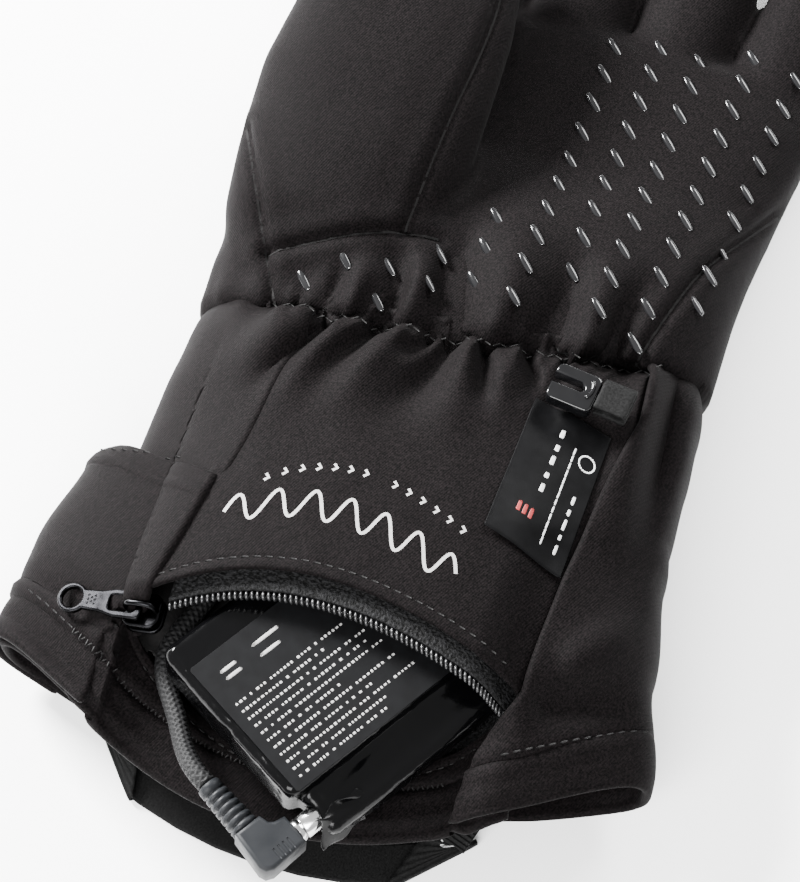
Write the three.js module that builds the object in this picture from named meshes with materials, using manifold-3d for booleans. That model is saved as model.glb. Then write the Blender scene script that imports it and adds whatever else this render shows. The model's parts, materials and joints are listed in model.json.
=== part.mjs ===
// A heated glove for the left hand. It lies on its back with the palm up, and its battery
// pack looks out of the zipped pocket in the cuff.
// Millimetres. +X is the little finger's side, +Y the fingers, +Z up out of the palm.
// The origin is under the middle of the wrist, on the surface that the glove lies on.
import * as THREE from "three";
import { mergeVertices } from "three/addons/utils/BufferGeometryUtils.js";
import Module from "manifold-3d";

const wasm = await Module();
wasm.setup();

// Padded cloth
const CLEARANCE = 0.3;
const SLIVER = 0.03;
const WALL = 3.4;
const FRONT_STEPS = 32;
const BACK_STEPS = 12;
const FRONT_ROUNDNESS = 2.8;
const SIDE_FOLD_SHARE = 0.46;

// Cuff
const CUFF_LENGTH = 88;
const WRIST_Y = -5;
const WRIST_RISE = 13;
const WRIST_WIDTH = 124;
const HEM_WIDTH = 151;
const HEM_SHIFT = -3;
const CUFF_HEIGHT = 42;
const HEM_BULGE_FRONT = 28;
const HEM_BULGE_BACK = 13;
const HEM_SLANT = 4;
const GATHER_DEPTH = 3.2;
const GATHER_COUNT = 9;
const BAND_START = 0.47;

// Pocket mouth, measured along the zip
const MOUTH_LENGTH = 92;
const MOUTH_RISE = 13;
const MOUTH_DROP = 22;
const MOUTH_SLANT = 0.06;
const MOUTH_SHARE = 0.915;
const LIP_HEIGHT = 50;
const STRIP_HEIGHT = 21;
const LIP_THINNING = 0.55;
const LIP_REACH = 8;
const POCKET_DEPTH = 62;
const LINING = 1;
const LINING_REACH = 3;

// Zip
const TAPE_WIDTH = 6.5;
const TAPE = 0.8;
const COIL = 1.9;
const SLIDER_LENGTH = 9;
const SLIDER_WIDTH = 8.4;
const SLIDER_HEIGHT = 4.2;
const BRIDGE_WIDTH = 2.6;
const BRIDGE_RISE = 3.2;
const PULLER_LENGTH = 20;
const PULLER_WIDTH = 5.6;
const PULLER_THICK = 1.5;
const RING_OUTER = 3.6;
const RING_HOLE = 2.5;
const PULLER_LIE = 14;

// Hand and fingers
const PALM_LENGTH = 110;
const KNUCKLE_WIDTH = 111;
const KNUCKLE_SHIFT = 16;
const PALM_HEIGHT = 42;
const FINGER_START = 109;
const FINGER_WIDTH = 27;
const FINGER_HEIGHT = 25;
const FINGER_CURL = 9;
const MIDDLE_FINGER = 93;

// Thumb
const THUMB_LENGTH = 110;
const THUMB_WIDTH = 57;
const THUMB_HEIGHT = 28;
const THUMB_X = -36;
const THUMB_Z = 40;

// Battery pack, in its own frame: X across the cells, Y along them into the pocket
const PACK_WIDTH = 45;
const PACK_LENGTH = 59;
const PACK_THICK = 12.5;
const PACK_CORNER = { x: -38.5, y: -98, z: 30.5 };
const PACK_TURN = -32;
const PACK_DIP = -3;
const PACK_ROLL = 1.5;
const BOARD_WIDTH = 11;
const BOARD_THICK = 8.5;
const BOARD_INSET = 3;
const PACK_EDGE = 1.6;
const LABEL_START = 2;
const LABEL_WIDTH = 37;
const LABEL_LENGTH = 47;
const LABEL_MARGIN = 8;
const LABEL = 0.4;

// Plug and lead
const BARREL_RADIUS = 2.75;
const BARREL_LENGTH = 10;
const BARREL_SHOWN = 5;
const PLUG_WIDTH = 8.4;
const PLUG_HEIGHT = 7.6;
const PLUG_LEG = 11.5;
const RELIEF_LENGTH = 13;
const RELIEF_RADIUS = 3.3;
const LEAD_DIAMETER = 4.6;
const GROMMET_LENGTH = 7;

// Hang loop, tag and hook
const RIBBON_WIDTH = 10;
const RIBBON = 0.9;
const RIBBON_FOLD_RADIUS = 0.9;
const LOOP_LEFT = 0.288;
const LOOP_RIGHT = 0.2185;
const LOOP_DROP_LEFT = 5;
const LOOP_DROP_RIGHT = 7.5;
const LOOP_SAG = 8;
const LOOP_TAIL = 20;
const LOOP_LEAN_LEFT = -3.5;
const LOOP_LEAN_RIGHT = 7;
const TAG_WIDTH = 19;
const TAG_LENGTH = 37;
const TAG = 0.5;
const TAG_LIFT = 1;
const TAG_SKEW = 0.35;
const TAG_SLANT = 1.6;
const TAG_CORNER = { x: 24.6, y: -13.2 };
const TAG_TURN = -8;
const HOOK_WIDTH = 11;
const HOOK_LENGTH = 9.5;
const HOOK_THICK = 4;
const HOOK_SLOT = 2.4;
const WEBBING_WIDTH = 8;
const WEBBING = 1.2;

// Across the hand, the cuff's sides stand out by these shares of the flare from wrist to hem.
const CUFF_OUTLINE = [
  { along: 0.0, left: 0.0, right: 0.0, crown: 1.0 },
  { along: 0.25, left: -0.17, right: 0.28, crown: 1.02 },
  { along: 0.42, left: -0.2, right: 0.38, crown: 1.02 },
  { along: 0.5, left: 0.58, right: 0.46, crown: 0.99 },
  { along: 0.75, left: 0.87, right: 0.65, crown: 0.98 },
  { along: 1.0, left: 1.0, right: 1.0, crown: 0.72 },
];

// Folds of the cuff's front. Places are shares of the way across, from the thumb's side, and of the
// cuff's length. Heights are shares of the wall.
const CUFF_FOLDS = [
  { across: 0.24, acrossEnd: 0.14, end: 0.5, width: 0.035, height: 1.1 },
  { across: 0.34, acrossEnd: 0.22, end: 0.6, width: 0.035, height: 0.7 },
  { across: 0.47, acrossEnd: 0.42, end: 0.4, width: 0.03, height: 0.5 },
  { across: 0.62, acrossEnd: 0.64, end: 0.4, width: 0.03, height: 0.5 },
  { across: 0.28, acrossEnd: 0.24, end: 1.2, width: 0.02, height: -0.9 },
  { across: 0.79, acrossEnd: 0.76, end: 1.2, width: 0.02, height: -0.9 },
  { across: 0.84, acrossEnd: 0.82, end: 1.1, width: 0.03, height: 0.9 },
];

// The palm, from the wrist to the finger roots: shares of its length, of half its width, of its height,
// and how far the little finger's side stands higher than the thumb's.
const PALM_SECTIONS = [
  { along: 0.0, left: 1.0, right: 1.0, height: 1.0, lean: 0.0 },
  { along: 0.15, left: 1.02, right: 1.02, height: 1.02, lean: 0.02 },
  { along: 0.3, left: 1.02, right: 1.04, height: 0.95, lean: 0.08 },
  { along: 0.44, left: 0.99, right: 1.07, height: 0.82, lean: 0.18 },
  { along: 0.6, left: 0.87, right: 1.12, height: 0.67, lean: 0.26 },
  { along: 0.78, left: 0.76, right: 1.21, height: 0.64, lean: 0.2 },
  { along: 0.92, left: 0.71, right: 1.26, height: 0.6, lean: 0.08 },
  { along: 1.0, left: 0.6, right: 1.16, height: 0.42, lean: 0.0 },
];

// Fingers: the root's place across the knuckles, the length as a share of the middle finger's, and the
// sideways run for each unit of length.
const FINGERS = [
  { name: "index_finger", across: 0.13, length: 0.9, spread: -0.06 },
  { name: "middle_finger", across: 0.375, length: 1.0, spread: 0.02 },
  { name: "ring_finger", across: 0.62, length: 0.92, spread: 0.09 },
  { name: "little_finger", across: 0.86, length: 0.73, spread: 0.17 },
];

const FINGER_SECTIONS = [
  { along: -0.2, width: 0.92, height: 0.86 },
  { along: 0.15, width: 1.0, height: 1.0 },
  { along: 0.5, width: 0.96, height: 0.96 },
  { along: 0.8, width: 0.88, height: 0.88 },
  { along: 0.93, width: 0.68, height: 0.7 },
  { along: 1.0, width: 0.3, height: 0.32 },
];

// The thumb, from inside the palm to its tip: shares of its length, of half its width and height, and
// its middle as shares of THUMB_X and THUMB_Z.
const THUMB_SECTIONS = [
  { along: 0.0, width: 0.7, height: 0.95, x: 1.06, z: 0.64 },
  { along: 0.13, width: 0.89, height: 1.2, x: 1.04, z: 0.74 },
  { along: 0.29, width: 0.98, height: 1.2, x: 1.01, z: 0.85 },
  { along: 0.46, width: 1.0, height: 1.06, x: 1.0, z: 0.98 },
  { along: 0.66, width: 0.94, height: 0.96, x: 0.95, z: 1.05 },
  { along: 0.84, width: 0.76, height: 0.9, x: 0.88, z: 1.06 },
  { along: 0.94, width: 0.56, height: 0.72, x: 0.84, z: 1.06 },
  { along: 1.0, width: 0.24, height: 0.36, x: 0.82, z: 1.06 },
];

// The lead's route, chosen by hand, from the plug's strain relief to the grommet inside the pocket.
const LEAD_ROUTE = [
  [-19.24, -121.37, 34.67],
  [-21.7, -119.8, 34.3],
  [-24.4, -117.4, 32.9],
  [-27.0, -114.2, 31.0],
  [-29.4, -110.4, 29.5],
  [-31.8, -106.4, 28.5],
  [-34.4, -102.6, 27.8],
  [-37.2, -98.4, 27.5],
  [-39.0, -93.6, 27.4],
  [-38.6, -88.4, 27.4],
  [-36.8, -82.8, 27.5],
  [-34.8, -77.2, 27.6],
  [-33.2, -71.6, 27.6],
  [-32.2, -66.2, 27.6],
  [-31.8, -61.0, 27.6],
];

const finishes = {
  softshell: { color: 0x2d292a, roughness: 0.85, metalness: 0 },
  lining: { color: 0x121112, roughness: 0.8, metalness: 0 },
  tape: { color: 0x1c1b1c, roughness: 0.8, metalness: 0 },
  metal: { color: 0x4a4b4e, roughness: 0.3, metalness: 1 },
  film: { color: 0x0b0b0c, roughness: 0.2, metalness: 0 },
  label: { color: 0x252629, roughness: 0.45, metalness: 0 },
  rubber: { color: 0x2b2d30, roughness: 0.6, metalness: 0 },
  braid: { color: 0x18181a, roughness: 0.75, metalness: 0 },
  barrel: { color: 0xa9abad, roughness: 0.25, metalness: 1 },
  ribbon: { color: 0x141415, roughness: 0.8, metalness: 0 },
  plastic: { color: 0x0d0d0e, roughness: 0.25, metalness: 0 },
};

const part = new THREE.Group();
const degrees = THREE.MathUtils.degToRad;
const lerp = THREE.MathUtils.lerp;
const clamp01 = (value) => Math.min(1, Math.max(0, value));
const smooth = (value) => clamp01(value) ** 2 * (3 - 2 * clamp01(value));
const hump = (value) => Math.exp(-value * value);

// One column of a table at a place between its rows, eased from row to row.
function tableAt(table, column, along) {
  const last = table.length - 1;
  let row = 0;
  while (row < last - 1 && along > table[row + 1].along) row += 1;
  const from = table[row];
  const to = table[row + 1];
  const share = (along - from.along) / (to.along - from.along);
  return lerp(from[column], to[column], smooth(share));
}

function addMesh(name, geometry, finish, group = part) {
  geometry.computeVertexNormals();
  const mesh = new THREE.Mesh(geometry, new THREE.MeshStandardMaterial(finishes[finish]));
  mesh.name = name;
  group.add(mesh);
  return mesh;
}

// A geometry from points and triangles, turned so that its faces point out.
function closedGeometry(points, triangles) {
  const positions = new Float32Array(points.flatMap((point) => [point.x, point.y, point.z]));
  let volume = 0;
  for (const [a, b, c] of triangles) {
    volume += points[a].dot(new THREE.Vector3().crossVectors(points[b], points[c]));
  }
  const facing = volume < 0 ? triangles.map(([a, b, c]) => [a, c, b]) : triangles;
  const geometry = new THREE.BufferGeometry();
  geometry.setAttribute("position", new THREE.BufferAttribute(positions, 3));
  geometry.setIndex(facing.flat());
  return geometry;
}

// The side faces between rings of points.
function ringFaces(ringCount, size, closedRound) {
  const faces = [];
  const spans = closedRound ? ringCount : ringCount - 1;
  for (let ring = 0; ring < spans; ring += 1) {
    for (let i = 0; i < size; i += 1) {
      const a = ring * size + i;
      const b = ring * size + ((i + 1) % size);
      const c = ((ring + 1) % ringCount) * size + i;
      const d = ((ring + 1) % ringCount) * size + ((i + 1) % size);
      faces.push([a, b, d], [a, d, c]);
    }
  }
  return faces;
}

// A solid through rings of points, its two ends closed by fans.
function loft(rings) {
  const size = rings[0].length;
  const points = rings.flat();
  const faces = ringFaces(rings.length, size, false);
  const centre = (ring) =>
    ring.reduce((sum, point) => sum.add(point), new THREE.Vector3()).divideScalar(size);
  points.push(centre(rings[0]), centre(rings[rings.length - 1]));
  const first = points.length - 2;
  const lastRing = (rings.length - 1) * size;
  for (let i = 0; i < size; i += 1) {
    const next = (i + 1) % size;
    faces.push([first, next, i], [first + 1, lastRing + i, lastRing + next]);
  }
  return closedGeometry(points, faces);
}

// A tube wall that is open at both ends, between outer and inner rings.
function openTube(outer, inner) {
  const rings = [...outer, ...[...inner].reverse()];
  return closedGeometry(rings.flat(), ringFaces(rings.length, rings[0].length, true));
}

// A thin sheet between two grids of points, each a list of rows.
function sheet(top, bottom) {
  const rings = top.map((row, i) => [...row, ...[...bottom[i]].reverse()]);
  const size = rings[0].length;
  const half = size / 2;
  const faces = ringFaces(rings.length, size, false);
  const lastRing = (rings.length - 1) * size;
  for (let i = 0; i < half - 1; i += 1) {
    const across = size - 1 - i;
    faces.push([i, across, across - 1], [i, across - 1, i + 1]);
    faces.push([lastRing + i, lastRing + across - 1, lastRing + across]);
    faces.push([lastRing + i, lastRing + i + 1, lastRing + across - 1]);
  }
  return closedGeometry(rings.flat(), faces);
}

function toSolid(geometry) {
  const bare = geometry.clone();
  bare.deleteAttribute("normal");
  bare.deleteAttribute("uv");
  const merged = mergeVertices(bare, 1e-4);
  return new wasm.Manifold(
    new wasm.Mesh({
      numProp: 3,
      vertProperties: merged.attributes.position.array,
      triVerts: new Uint32Array(merged.index.array),
    }),
  );
}

// The largest body of a solid, without the slivers that a cut leaves.
function toGeometry(solid) {
  const bodies = solid.decompose().sort((a, b) => b.volume() - a.volume());
  const mesh = bodies[0].asOriginal().simplify(SLIVER).getMesh();
  const geometry = new THREE.BufferGeometry();
  geometry.setAttribute("position", new THREE.BufferAttribute(mesh.vertProperties, 3));
  geometry.setIndex(new THREE.BufferAttribute(mesh.triVerts, 1));
  return geometry;
}

// A round-cornered section, flat enough below to lie on a table: shares of the half width and height.
function sectionShares(frontSteps, backSteps) {
  const shares = [];
  const place = (angle, share, front) => {
    const across = Math.sign(Math.cos(angle)) * Math.abs(Math.cos(angle)) ** (2 / FRONT_ROUNDNESS);
    const up = Math.abs(Math.sin(angle)) ** (2 / FRONT_ROUNDNESS);
    shares.push({ across, up, share, front });
  };
  for (let i = 0; i < frontSteps; i += 1) place(Math.PI * (1 - i / frontSteps), i / frontSteps, true);
  for (let i = 0; i < backSteps; i += 1) place((-Math.PI * i) / backSteps, i / backSteps, false);
  return shares;
}

const CUFF_SHARES = sectionShares(FRONT_STEPS, BACK_STEPS);
const CAVITY_SHARES = sectionShares(FRONT_STEPS / 2, BACK_STEPS / 2);

// The wrist's gathers: how far the front is drawn in at a share of the way across.
function gather(share, reach) {
  return -GATHER_DEPTH * (0.5 + 0.5 * Math.cos(2 * Math.PI * GATHER_COUNT * share)) * hump(reach);
}

function cuffHalf(side, along) {
  const flare = tableAt(CUFF_OUTLINE, side, along) * (HEM_WIDTH - WRIST_WIDTH) * 0.5;
  return WRIST_WIDTH / 2 + flare;
}

// The wrist's line of gathers climbs towards the little finger's side.
function wristY(across) {
  return WRIST_Y + WRIST_RISE * clamp01((1 + across) / 2) ** 2;
}

function hemY(across, bulge) {
  return WRIST_Y - CUFF_LENGTH - bulge * (1 - across * across) + HEM_SLANT * across;
}

// The pocket mouth's middle and its two lips, over x.
const MOUTH = { x: HEM_SHIFT, y: WRIST_Y - MOUTH_SHARE * CUFF_LENGTH };
const mouthShare = (x) => clamp01((x - MOUTH.x) / MOUTH_LENGTH + 0.5);
const mouthLine = (x) => MOUTH.y + MOUTH_SLANT * (x - MOUTH.x);
const upperLip = (x) => mouthLine(x) + MOUTH_RISE * Math.sin(Math.PI * mouthShare(x) ** 0.8);
const lowerLip = (x) => mouthLine(x) - MOUTH_DROP * Math.sin(Math.PI * mouthShare(x)) ** 0.8;

// How open the mouth is at a place along it, from 0 at its corners.
const opening = (x) => Math.sin(Math.PI * mouthShare(x)) ** 0.25;

// The height of the cuff's front over its middle line, with the pocket's panel raised above the mouth
// and the strip sunk below it.
function frontCrown(x, y, along) {
  const base = CUFF_HEIGHT * tableAt(CUFF_OUTLINE, "crown", along);
  const upper = Math.max(upperLip(x), mouthLine(x) + MOUTH_RISE / 2);
  const lower = Math.min(lowerLip(x), mouthLine(x) - MOUTH_RISE / 2);
  const above = smooth(((y - lower) / (upper - lower) - 0.14) / 0.7);
  const towardsWrist = smooth((WRIST_Y - y) / (WRIST_Y - upper));
  const raise = above * towardsWrist * (LIP_HEIGHT - base);
  const sink = (1 - above) * (base - STRIP_HEIGHT);
  return base + opening(x) * (raise - sink);
}

function cuffFolds(share, along) {
  let height = 0;
  for (const fold of CUFF_FOLDS) {
    const middle = lerp(fold.across, fold.acrossEnd, clamp01(along / fold.end));
    const fade = fold.end > 1 ? 1 : 1 - smooth(along / fold.end);
    const start = smooth(along / 0.08);
    height += fold.height * WALL * fade * start * hump((share - middle) / fold.width);
  }
  return height;
}

// The padded wall thins towards the zip's seams.
function wallShare(x, y) {
  const away = Math.min(Math.abs(y - upperLip(x)), Math.abs(y - lowerLip(x)));
  return 1 - LIP_THINNING * hump(away / LIP_REACH) * opening(x);
}

// A point of the cuff: along from 0 at the wrist to 1 at the hem, set in from the outer face.
function cuffPoint(along, place, inset) {
  const outerHalf = cuffHalf(place.across < 0 ? "left" : "right", along);
  const half = outerHalf - inset;
  const x = HEM_SHIFT * along + half * place.across;
  const bulge = place.front ? HEM_BULGE_FRONT * place.up : HEM_BULGE_BACK * place.up;
  const y = lerp(wristY((half / outerHalf) * place.across), hemY(place.across, bulge), along);
  const fold = CUFF_HEIGHT * SIDE_FOLD_SHARE * lerp(1, 0.95, along);
  if (!place.front) {
    return new THREE.Vector3(x, y, Math.max(inset, fold - (fold + 1.5 - inset) * place.up));
  }
  const relief = cuffFolds(place.share, along) + gather(place.share, along / 0.09);
  const crown = frontCrown(x, y, along) + relief * smooth(2 * place.up) - inset * wallShare(x, y);
  return new THREE.Vector3(x, y, fold + (crown - fold) * place.up);
}

// The height of the cuff's front at a point of the plan, outside it or inside its wall.
function cuffTop(x, y, inset = 0) {
  let along = clamp01((WRIST_Y - y) / CUFF_LENGTH);
  let across = 0;
  for (let pass = 0; pass < 8; pass += 1) {
    const offset = x - HEM_SHIFT * along;
    const half = cuffHalf(offset < 0 ? "left" : "right", along) - inset;
    across = Math.max(-0.98, Math.min(0.98, offset / half));
    const up = (1 - Math.abs(across) ** FRONT_ROUNDNESS) ** (1 / FRONT_ROUNDNESS);
    const start = wristY((across * half) / (half + inset));
    along = clamp01((start - y) / (start - hemY(across, HEM_BULGE_FRONT * up)));
  }
  const up = (1 - Math.abs(across) ** FRONT_ROUNDNESS) ** (1 / FRONT_ROUNDNESS);
  const angle = Math.acos(Math.sign(across) * Math.abs(across) ** (FRONT_ROUNDNESS / 2));
  const place = { across, up, share: 1 - angle / Math.PI, front: true };
  return cuffPoint(along, place, inset).z;
}

const CUFF_RINGS = [0, 0.05, 0.11, 0.19, 0.28, 0.38, 0.44, 0.5, 0.58, 0.65, 0.71, 0.77, 0.83, 0.89, 0.95, 1];

// A prism of a plan outline between two heights.
function prism(outline, low, high) {
  const shape = new THREE.Shape(outline.map(([x, y]) => new THREE.Vector2(x, y)));
  const geometry = new THREE.ExtrudeGeometry(shape, { depth: high - low, bevelEnabled: false });
  return geometry.translate(0, 0, low);
}

function mouthOutline(margin) {
  const outline = [];
  const steps = 18;
  const start = MOUTH.x - MOUTH_LENGTH / 2;
  for (let i = 0; i <= steps; i += 1) {
    const x = start + (MOUTH_LENGTH * i) / steps;
    outline.push([x, lowerLip(x) - margin]);
  }
  for (let i = steps; i >= 0; i -= 1) {
    const x = start + (MOUTH_LENGTH * i) / steps;
    outline.push([x, upperLip(x) + margin]);
  }
  return outline;
}

// The slider stands in a notch at the left end of the mouth, a little proud of the cloth, and so high
// that its puller clears the cloth all along.
function sliderPlace() {
  const x = MOUTH.x - MOUTH_LENGTH / 2 + SLIDER_LENGTH / 2;
  const y = mouthLine(x);
  let z = cuffTop(x - SLIDER_LENGTH, y) - SLIDER_HEIGHT / 3;
  for (let away = SLIDER_LENGTH / 2 + 1; away <= PULLER_LENGTH; away += 1) {
    const cloth = cuffTop(x - away, y) - CLEARANCE;
    z = Math.max(z, cloth + away * Math.sin(degrees(PULLER_LIE)) - SLIDER_HEIGHT);
  }
  return { x, y, z, turn: Math.atan(MOUTH_SLANT) };
}

function makeCuff() {
  const ring = (along, inset) => CUFF_SHARES.map((place) => cuffPoint(along, place, inset));
  const outer = CUFF_RINGS.map((along) => ring(along, 0));
  const inner = CUFF_RINGS.map((along) => ring(along, WALL));
  const mouth = toSolid(prism(mouthOutline(0.4), CUFF_HEIGHT * SIDE_FOLD_SHARE, CUFF_HEIGHT * 2));
  const seat = new THREE.BoxGeometry(SLIDER_LENGTH + 2, SLIDER_WIDTH + 1, CUFF_HEIGHT);
  const frame = sliderPlace();
  seat.rotateZ(frame.turn).translate(frame.x, frame.y, frame.z);
  const whole = toSolid(openTube(outer, inner)).subtract(mouth).subtract(toSolid(seat));

  // The band's edge follows the pocket panel's fold, and stops short of the zip's end.
  const bandTop = WRIST_Y - BAND_START * CUFF_LENGTH;
  const edgeTop = -cuffHalf("left", BAND_START) * 0.68;
  const edgeHem = MOUTH.x - MOUTH_LENGTH / 2 - SLIDER_LENGTH / 2;
  const far = -HEM_WIDTH;
  const hemEnd = WRIST_Y - 2 * CUFF_LENGTH;
  const bandRegion = (gap) => [
    [far, bandTop + gap],
    [edgeTop + gap, bandTop + gap],
    [edgeHem + gap, MOUTH.y],
    [edgeHem + gap, hemEnd],
    [far, hemEnd],
  ];
  const cut = (gap) => toSolid(prism(bandRegion(gap), -CUFF_HEIGHT, 2 * CUFF_HEIGHT));
  addMesh("cuff", toGeometry(whole.subtract(cut(CLEARANCE))), "softshell");
  addMesh("cuff_side_band", toGeometry(whole.intersect(cut(0))), "softshell");
}

// The pouch behind the front panel: flat under the pack, and curved up to the panel all round.
function makePocketLining() {
  const columns = 16;
  const rows = 9;
  const half = MOUTH_LENGTH / 2 + LINING_REACH;
  const top = [];
  const bottom = [];
  for (let r = 0; r <= rows; r += 1) {
    const deep = r / rows;
    const upperRow = [];
    const lowerRow = [];
    for (let c = 0; c <= columns; c += 1) {
      const side = (2 * c) / columns - 1;
      const x = MOUTH.x + half * side * lerp(1, 0.9, deep);
      const start = lowerLip(x) - 2 * WALL * Math.sqrt(1 - side * side);
      const end = mouthLine(x) + POCKET_DEPTH - 8 * side * side;
      const y = lerp(start, end, deep);
      const underTape = 2 * (TAPE + COIL) * (1 - smooth(deep / 0.5));
      const roof = cuffTop(x, y, WALL) - 3 * CLEARANCE - underTape;
      const room = smooth((1 - Math.abs(side)) / 0.16) * smooth((1 - deep) / 0.14);
      const floor = PACK_CORNER.z - LEAD_DIAMETER - 2 * LINING;
      const z = lerp(roof, Math.min(roof, floor), room);
      upperRow.push(new THREE.Vector3(x, y, z));
      lowerRow.push(new THREE.Vector3(x, y, z - LINING));
    }
    top.push(upperRow);
    bottom.push(lowerRow);
  }
  addMesh("pocket_lining", sheet(top, bottom), "lining");
}

// A strip or cord of a closed section along a smooth curve.
function sweep(points, section, steps) {
  const path = new THREE.CatmullRomCurve3(points, false, "centripetal");
  const shape = new THREE.Shape(section.map(([x, y]) => new THREE.Vector2(x, y)));
  return new THREE.ExtrudeGeometry(shape, { steps, extrudePath: path, bevelEnabled: false });
}

function polygonSection(radius, sides) {
  return Array.from({ length: sides }, (unused, i) => {
    const angle = (2 * Math.PI * i) / sides;
    return [radius * Math.cos(angle), radius * Math.sin(angle)];
  });
}

// A tape under each lip, from beneath the wall to its coil in the mouth.
function makeZipSide(name, lip, into) {
  const steps = 18;
  const start = MOUTH.x - MOUTH_LENGTH / 2 + SLIDER_LENGTH + 2 * CLEARANCE;
  const run = MOUTH_LENGTH - SLIDER_LENGTH - 2 * TAPE_WIDTH;
  const top = [];
  const bottom = [];
  const coil = [];
  for (let i = 0; i <= steps; i += 1) {
    const x = start + (run * i) / steps;
    const edge = lip(x);
    const hidden = edge - into * TAPE_WIDTH * 0.35;
    const shown = edge + into * TAPE_WIDTH * 0.65;
    const under = Math.min(cuffTop(x, hidden, WALL), cuffTop(x, edge, WALL)) - 3 * CLEARANCE;
    const drop = into < 0 ? 0.6 : 0.2;
    const row = [new THREE.Vector3(x, hidden, under), new THREE.Vector3(x, shown, under - drop)];
    top.push(row);
    bottom.push(row.map((point) => point.clone().setZ(point.z - TAPE)));
    coil.push(new THREE.Vector3(x, shown + into * (COIL / 2 + CLEARANCE), under - drop - TAPE / 2));
  }
  addMesh("zip_tape_" + name, sheet(top, bottom), "tape");
  addMesh("zip_coil_" + name, sweep(coil, polygonSection(COIL / 2, 5), 24), "tape");
}

function roundedPlate(length, width, corner) {
  const shape = new THREE.Shape();
  const x = length / 2 - corner;
  const y = width / 2 - corner;
  const quarter = Math.PI / 2;
  shape.absarc(x, y, corner, 0, quarter, false);
  shape.absarc(-x, y, corner, quarter, 2 * quarter, false);
  shape.absarc(-x, -y, corner, 2 * quarter, 3 * quarter, false);
  shape.absarc(x, -y, corner, 3 * quarter, 4 * quarter, false);
  return shape;
}

// A plate with rounded corners and edges, from z = 0 up.
function softPlate(length, width, height, corner, edge, segments = 3) {
  const shape = roundedPlate(length - 2 * edge, width - 2 * edge, Math.max(0.2, corner - edge));
  const geometry = new THREE.ExtrudeGeometry(shape, {
    depth: height - 2 * edge,
    bevelSize: edge,
    bevelThickness: edge,
    bevelSegments: 1,
    curveSegments: segments,
  });
  return geometry.translate(0, 0, edge);
}

// The slider's frame: X along the zip, Z out of the cloth.
function sliderFrame() {
  const place = sliderPlace();
  const group = new THREE.Group();
  group.position.set(place.x, place.y, place.z);
  group.rotation.set(0, degrees(-PULLER_LIE), place.turn, "ZYX");
  part.add(group);
  return group;
}

function makeSlider(group) {
  const body = toSolid(softPlate(SLIDER_LENGTH, SLIDER_WIDTH, SLIDER_HEIGHT, 2.4, 0.6));
  const legs = [-1, 1].map((side) => {
    const leg = new THREE.BoxGeometry(BRIDGE_WIDTH / 2, BRIDGE_WIDTH, BRIDGE_RISE + 1);
    return toSolid(leg.translate(side * SLIDER_LENGTH * 0.36, 0, SLIDER_HEIGHT + BRIDGE_RISE / 2 - 0.5));
  });
  const length = SLIDER_LENGTH * 0.72 + BRIDGE_WIDTH / 2;
  const crown = softPlate(length, BRIDGE_WIDTH, 1.1, 0.9, 0.3, 2);
  const top = toSolid(crown.translate(0, 0, SLIDER_HEIGHT + BRIDGE_RISE - 0.6));
  addMesh("zip_slider", toGeometry(body.add(legs[0]).add(legs[1]).add(top)), "metal", group);
}

// The puller lies to the left: its bar turns in the bridge, and its ring is at the far end.
function makePuller(group) {
  const bar = PULLER_THICK;
  const windowLength = SLIDER_LENGTH * 0.72;
  const outline = roundedPlate(windowLength + 2 * bar, SLIDER_WIDTH * 0.8, 1.4);
  const opening = roundedPlate(windowLength, SLIDER_WIDTH * 0.8 - 2 * bar, 0.6);
  outline.holes.push(opening);
  const options = { depth: PULLER_THICK, bevelEnabled: false, curveSegments: 3 };
  const frame = new THREE.ExtrudeGeometry(outline, options);
  frame.translate(-windowLength / 2 - bar / 2, 0, 0);
  const ringMiddle = -(PULLER_LENGTH - RING_OUTER);
  const ring = new THREE.Shape().absarc(ringMiddle, 0, RING_OUTER, 0, 2 * Math.PI, false);
  ring.holes.push(new THREE.Path().absarc(ringMiddle, 0, RING_HOLE, 0, 2 * Math.PI, true));
  const ringGeometry = new THREE.ExtrudeGeometry(ring, { ...options, curveSegments: 9 });
  const neckLength = PULLER_LENGTH - windowLength - bar - RING_OUTER - RING_HOLE;
  const neck = new THREE.BoxGeometry(neckLength, PULLER_WIDTH * 0.8, PULLER_THICK);
  neck.translate(-windowLength - bar - neckLength / 2 + 0.1, 0, PULLER_THICK / 2);
  const solid = toSolid(frame).add(toSolid(neck)).add(toSolid(ringGeometry));
  const geometry = toGeometry(solid);
  geometry.translate(0, 0, SLIDER_HEIGHT + 2 * CLEARANCE);
  addMesh("zip_puller", geometry, "metal", group);
}

// The pack's frame: X across the cells towards the board, Y into the pocket.
function packFrame() {
  const group = new THREE.Group();
  group.position.set(PACK_CORNER.x, PACK_CORNER.y, PACK_CORNER.z);
  group.rotation.set(degrees(PACK_DIP), degrees(PACK_ROLL), degrees(PACK_TURN), "ZYX");
  part.add(group);
  return group;
}

const BOARD_MIDDLE = PACK_WIDTH + BOARD_WIDTH / 2 - 1;

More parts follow.
